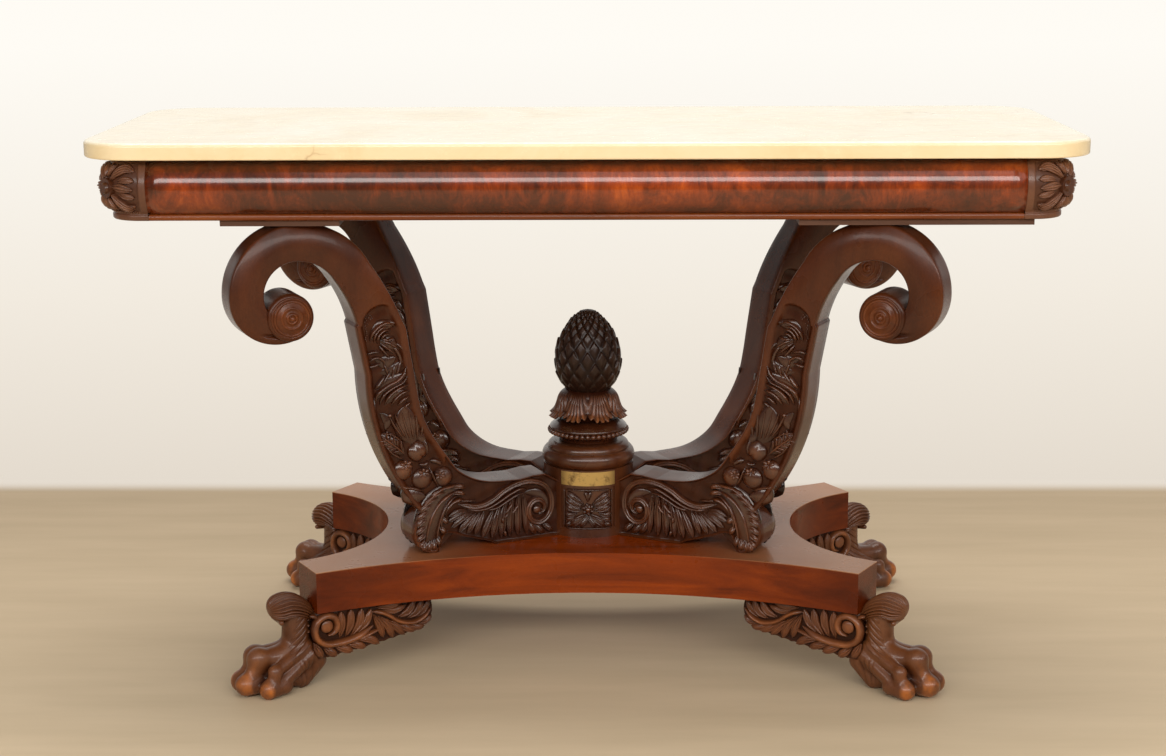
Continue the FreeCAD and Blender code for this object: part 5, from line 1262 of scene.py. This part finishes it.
# %% [markdown]
# The boards, plates and fasteners of the construction model keep their own meshes. Each gets its
# finish here, by the word its name ends in.
# %% Finishes on the plain parts
by_ending = {
    "marble_top": marble, "_apron_torus": veneer, "_apron_fillet": turned_mahogany,
    "_apron_bead": bead_mahogany, "_cleat": plain_mahogany, "_rail": plain_mahogany,
    "glue_blocks": plain_mahogany, "plinth_slab": slab_mahogany, "brass_plate": brass,
    "_screws": iron, "rod": iron, "washer": iron, "nut": iron, "dowels": plain_mahogany,
}
for name, thing in nodes.items():
    finish = next((look for ending, look in by_ending.items() if name.endswith(ending)),
                  turned_mahogany)
    for slot in thing.material_slots:
        slot.material = finish
print("finished", len(nodes), "construction parts")

# %% [markdown]
# The room is a pale floor that turns cream further back. Light comes from four lamps: a long strip
# in front, which draws one bright line along the polished round, a weak broad lamp in front and
# above, a large one over the back and a weak one on the right. An even pale sky fills the shadows,
# and only rays that polished wood sends to the back see it brighter, as a backdrop.
# %% Floor and lights
def stage_floor():
    half = 60.0
    mesh = bpy.data.meshes.new("floor")
    mesh.from_pydata([(-half, -half, 0), (half, -half, 0), (half, half, 0), (-half, half, 0)], [],
                     [(0, 1, 2, 3)])
    floor = bpy.data.objects.new("floor", mesh)
    bpy.context.scene.collection.objects.link(floor)
    material, tree, shader = start_finish("pale_floor", 0.6, Specular_IOR_Level=0.2)
    spot = add(tree, "SeparateXYZ", Vector=add(tree, "TexCoord").outputs["Object"])
    back = spot.outputs["Y"]
    far = span(tree, back, 0.74, 0.84, kind="SMOOTHSTEP")
    soft = noise(tree, place(tree, scale=(1, 7, 1)), 2.2, 5)
    near = ramp(tree, soft, [(0.3, (0.60, 0.478, 0.320)), (0.7, (0.675, 0.542, 0.372))])
    # Painted shade: the near floor is painted darker toward the back, under and behind the table.
    near = mix(tree, span(tree, back, -0.6, 0.7), near, (0.72, 0.70, 0.68), "MULTIPLY")
    tree.links.new(mix(tree, far, near, (0.90, 0.86, 0.80)), shader.inputs["Base Color"])
    nearness = math_node(tree, "DIVIDE", 1.0, math_node(tree, "ADD", back, 2.81))
    haze = ramp(tree, span(tree, nearness, 0.28, 0.06),
                [(0.0, (0.77, 0.70, 0.61)), (0.45, (0.89, 0.83, 0.74)), (1.0, (1.0, 0.97, 0.91))])
    glow = add(tree, "Emission", Color=haze, Strength=1.0)
    paths = add(tree, "LightPath")
    aside = math_node(tree, "ABSOLUTE", spot.outputs["X"])
    mirrored = math_node(tree, "MULTIPLY", paths.outputs["Is Glossy Ray"],
                         span(tree, aside, 1.0, 2.4, 0.42, 0.08))
    seen = math_node(tree, "MAXIMUM", paths.outputs["Is Camera Ray"], mirrored)
    blend = add(tree, "MixShader", in0=math_node(tree, "MULTIPLY", far, seen), in1=shader.outputs[0],
                in2=glow.outputs[0])
    tree.links.new(blend.outputs[0], tree.nodes["Material Output"].inputs["Surface"])
    mesh.materials.append(material)


def lamp(name, centre, target, size, power, colour):
    light = bpy.data.lights.new(name, "AREA")
    light.shape, light.size, light.size_y = "RECTANGLE", size[0], size[1]
    light.energy, light.color = power, colour
    holder = bpy.data.objects.new(name, light)
    bpy.context.scene.collection.objects.link(holder)
    holder.location = centre
    aim = np.subtract(target, centre)
    aim = aim / np.linalg.norm(aim)
    holder.rotation_euler = (math.acos(-aim[2]), 0, math.atan2(-aim[0], aim[1]))


stage_floor()
lamp("front_soft", (0.4, -2.5, 3.0), (0, 0, 0.45), (2.6, 1.4), 12, (1.0, 0.96, 0.90))
lamp("front_strip", (0.2, -3.5, 2.05), (0, 0, 0.6), (9.0, 0.85), 165, (1.0, 0.97, 0.93))
lamp("right_soft", (3.0, -0.9, 1.9), (0, 0, 0.4), (1.8, 1.8), 8, (1.0, 0.96, 0.92))
lamp("top_soft", (0.0, 0.9, 3.4), (0, 0, 0.5), (3.0, 2.0), 76, (1.0, 0.97, 0.93))
world = bpy.data.worlds.new("pale_room")
bpy.context.scene.world = world
world.use_nodes = True
sky = world.node_tree
paths = sky.nodes.new("ShaderNodeLightPath")
seen = math_node(sky, "MAXIMUM", paths.outputs["Is Camera Ray"], paths.outputs["Is Transmission Ray"])
back = add(sky, "SeparateXYZ", Vector=add(sky, "TexCoord").outputs["Generated"]).outputs["Y"]
backdrop = span(sky, back, 0.4, 0.85, -0.16, 0.5, kind="SMOOTHSTEP")
strength = math_node(sky, "MULTIPLY_ADD", seen, 0.68, 0.32)
strength = math_node(sky, "MULTIPLY_ADD", paths.outputs["Is Glossy Ray"], backdrop, strength)
sky.links.new(strength, sky.nodes["Background"].inputs["Strength"])
sky.nodes["Background"].inputs["Color"].default_value = (1.0, 0.965, 0.915, 1)
bpy.context.scene.view_settings.view_transform = "Standard"

# %% [markdown]
# The camera stands about three metres off, a little above the marble, and looks slightly down.
# Its axes are worked out from pitch, yaw and roll, so that each angle can be tuned by itself.
# %% Camera
IMAGE_WIDTH = 1166


def stand_camera(where, pitch, yaw, roll, focal_pixels):
    forward = np.array([math.sin(yaw) * math.cos(pitch), math.cos(yaw) * math.cos(pitch),
                        -math.sin(pitch)])
    right = np.array([math.cos(yaw), -math.sin(yaw), 0.0])
    up = np.cross(right, forward)
    across = right * math.cos(roll) + up * math.sin(roll)
    upward = up * math.cos(roll) - right * math.sin(roll)
    lens = bpy.data.cameras.new("camera")
    lens.sensor_width = 36
    lens.lens = focal_pixels / IMAGE_WIDTH * lens.sensor_width
    lens.clip_start = 0.05
    camera = bpy.data.objects.new("camera", lens)
    bpy.context.scene.collection.objects.link(camera)
    matrix = np.eye(4)
    matrix[:3, 0], matrix[:3, 1], matrix[:3, 2], matrix[:3, 3] = across, upward, -forward, where
    camera.matrix_world = Matrix(matrix.tolist())
    bpy.context.scene.camera = camera


stand_camera(where=(0.036, -2.8092, 1.0341), pitch=0.2262, yaw=-0.0154, roll=-0.0044,
             focal_pixels=2000)
print("camera set")
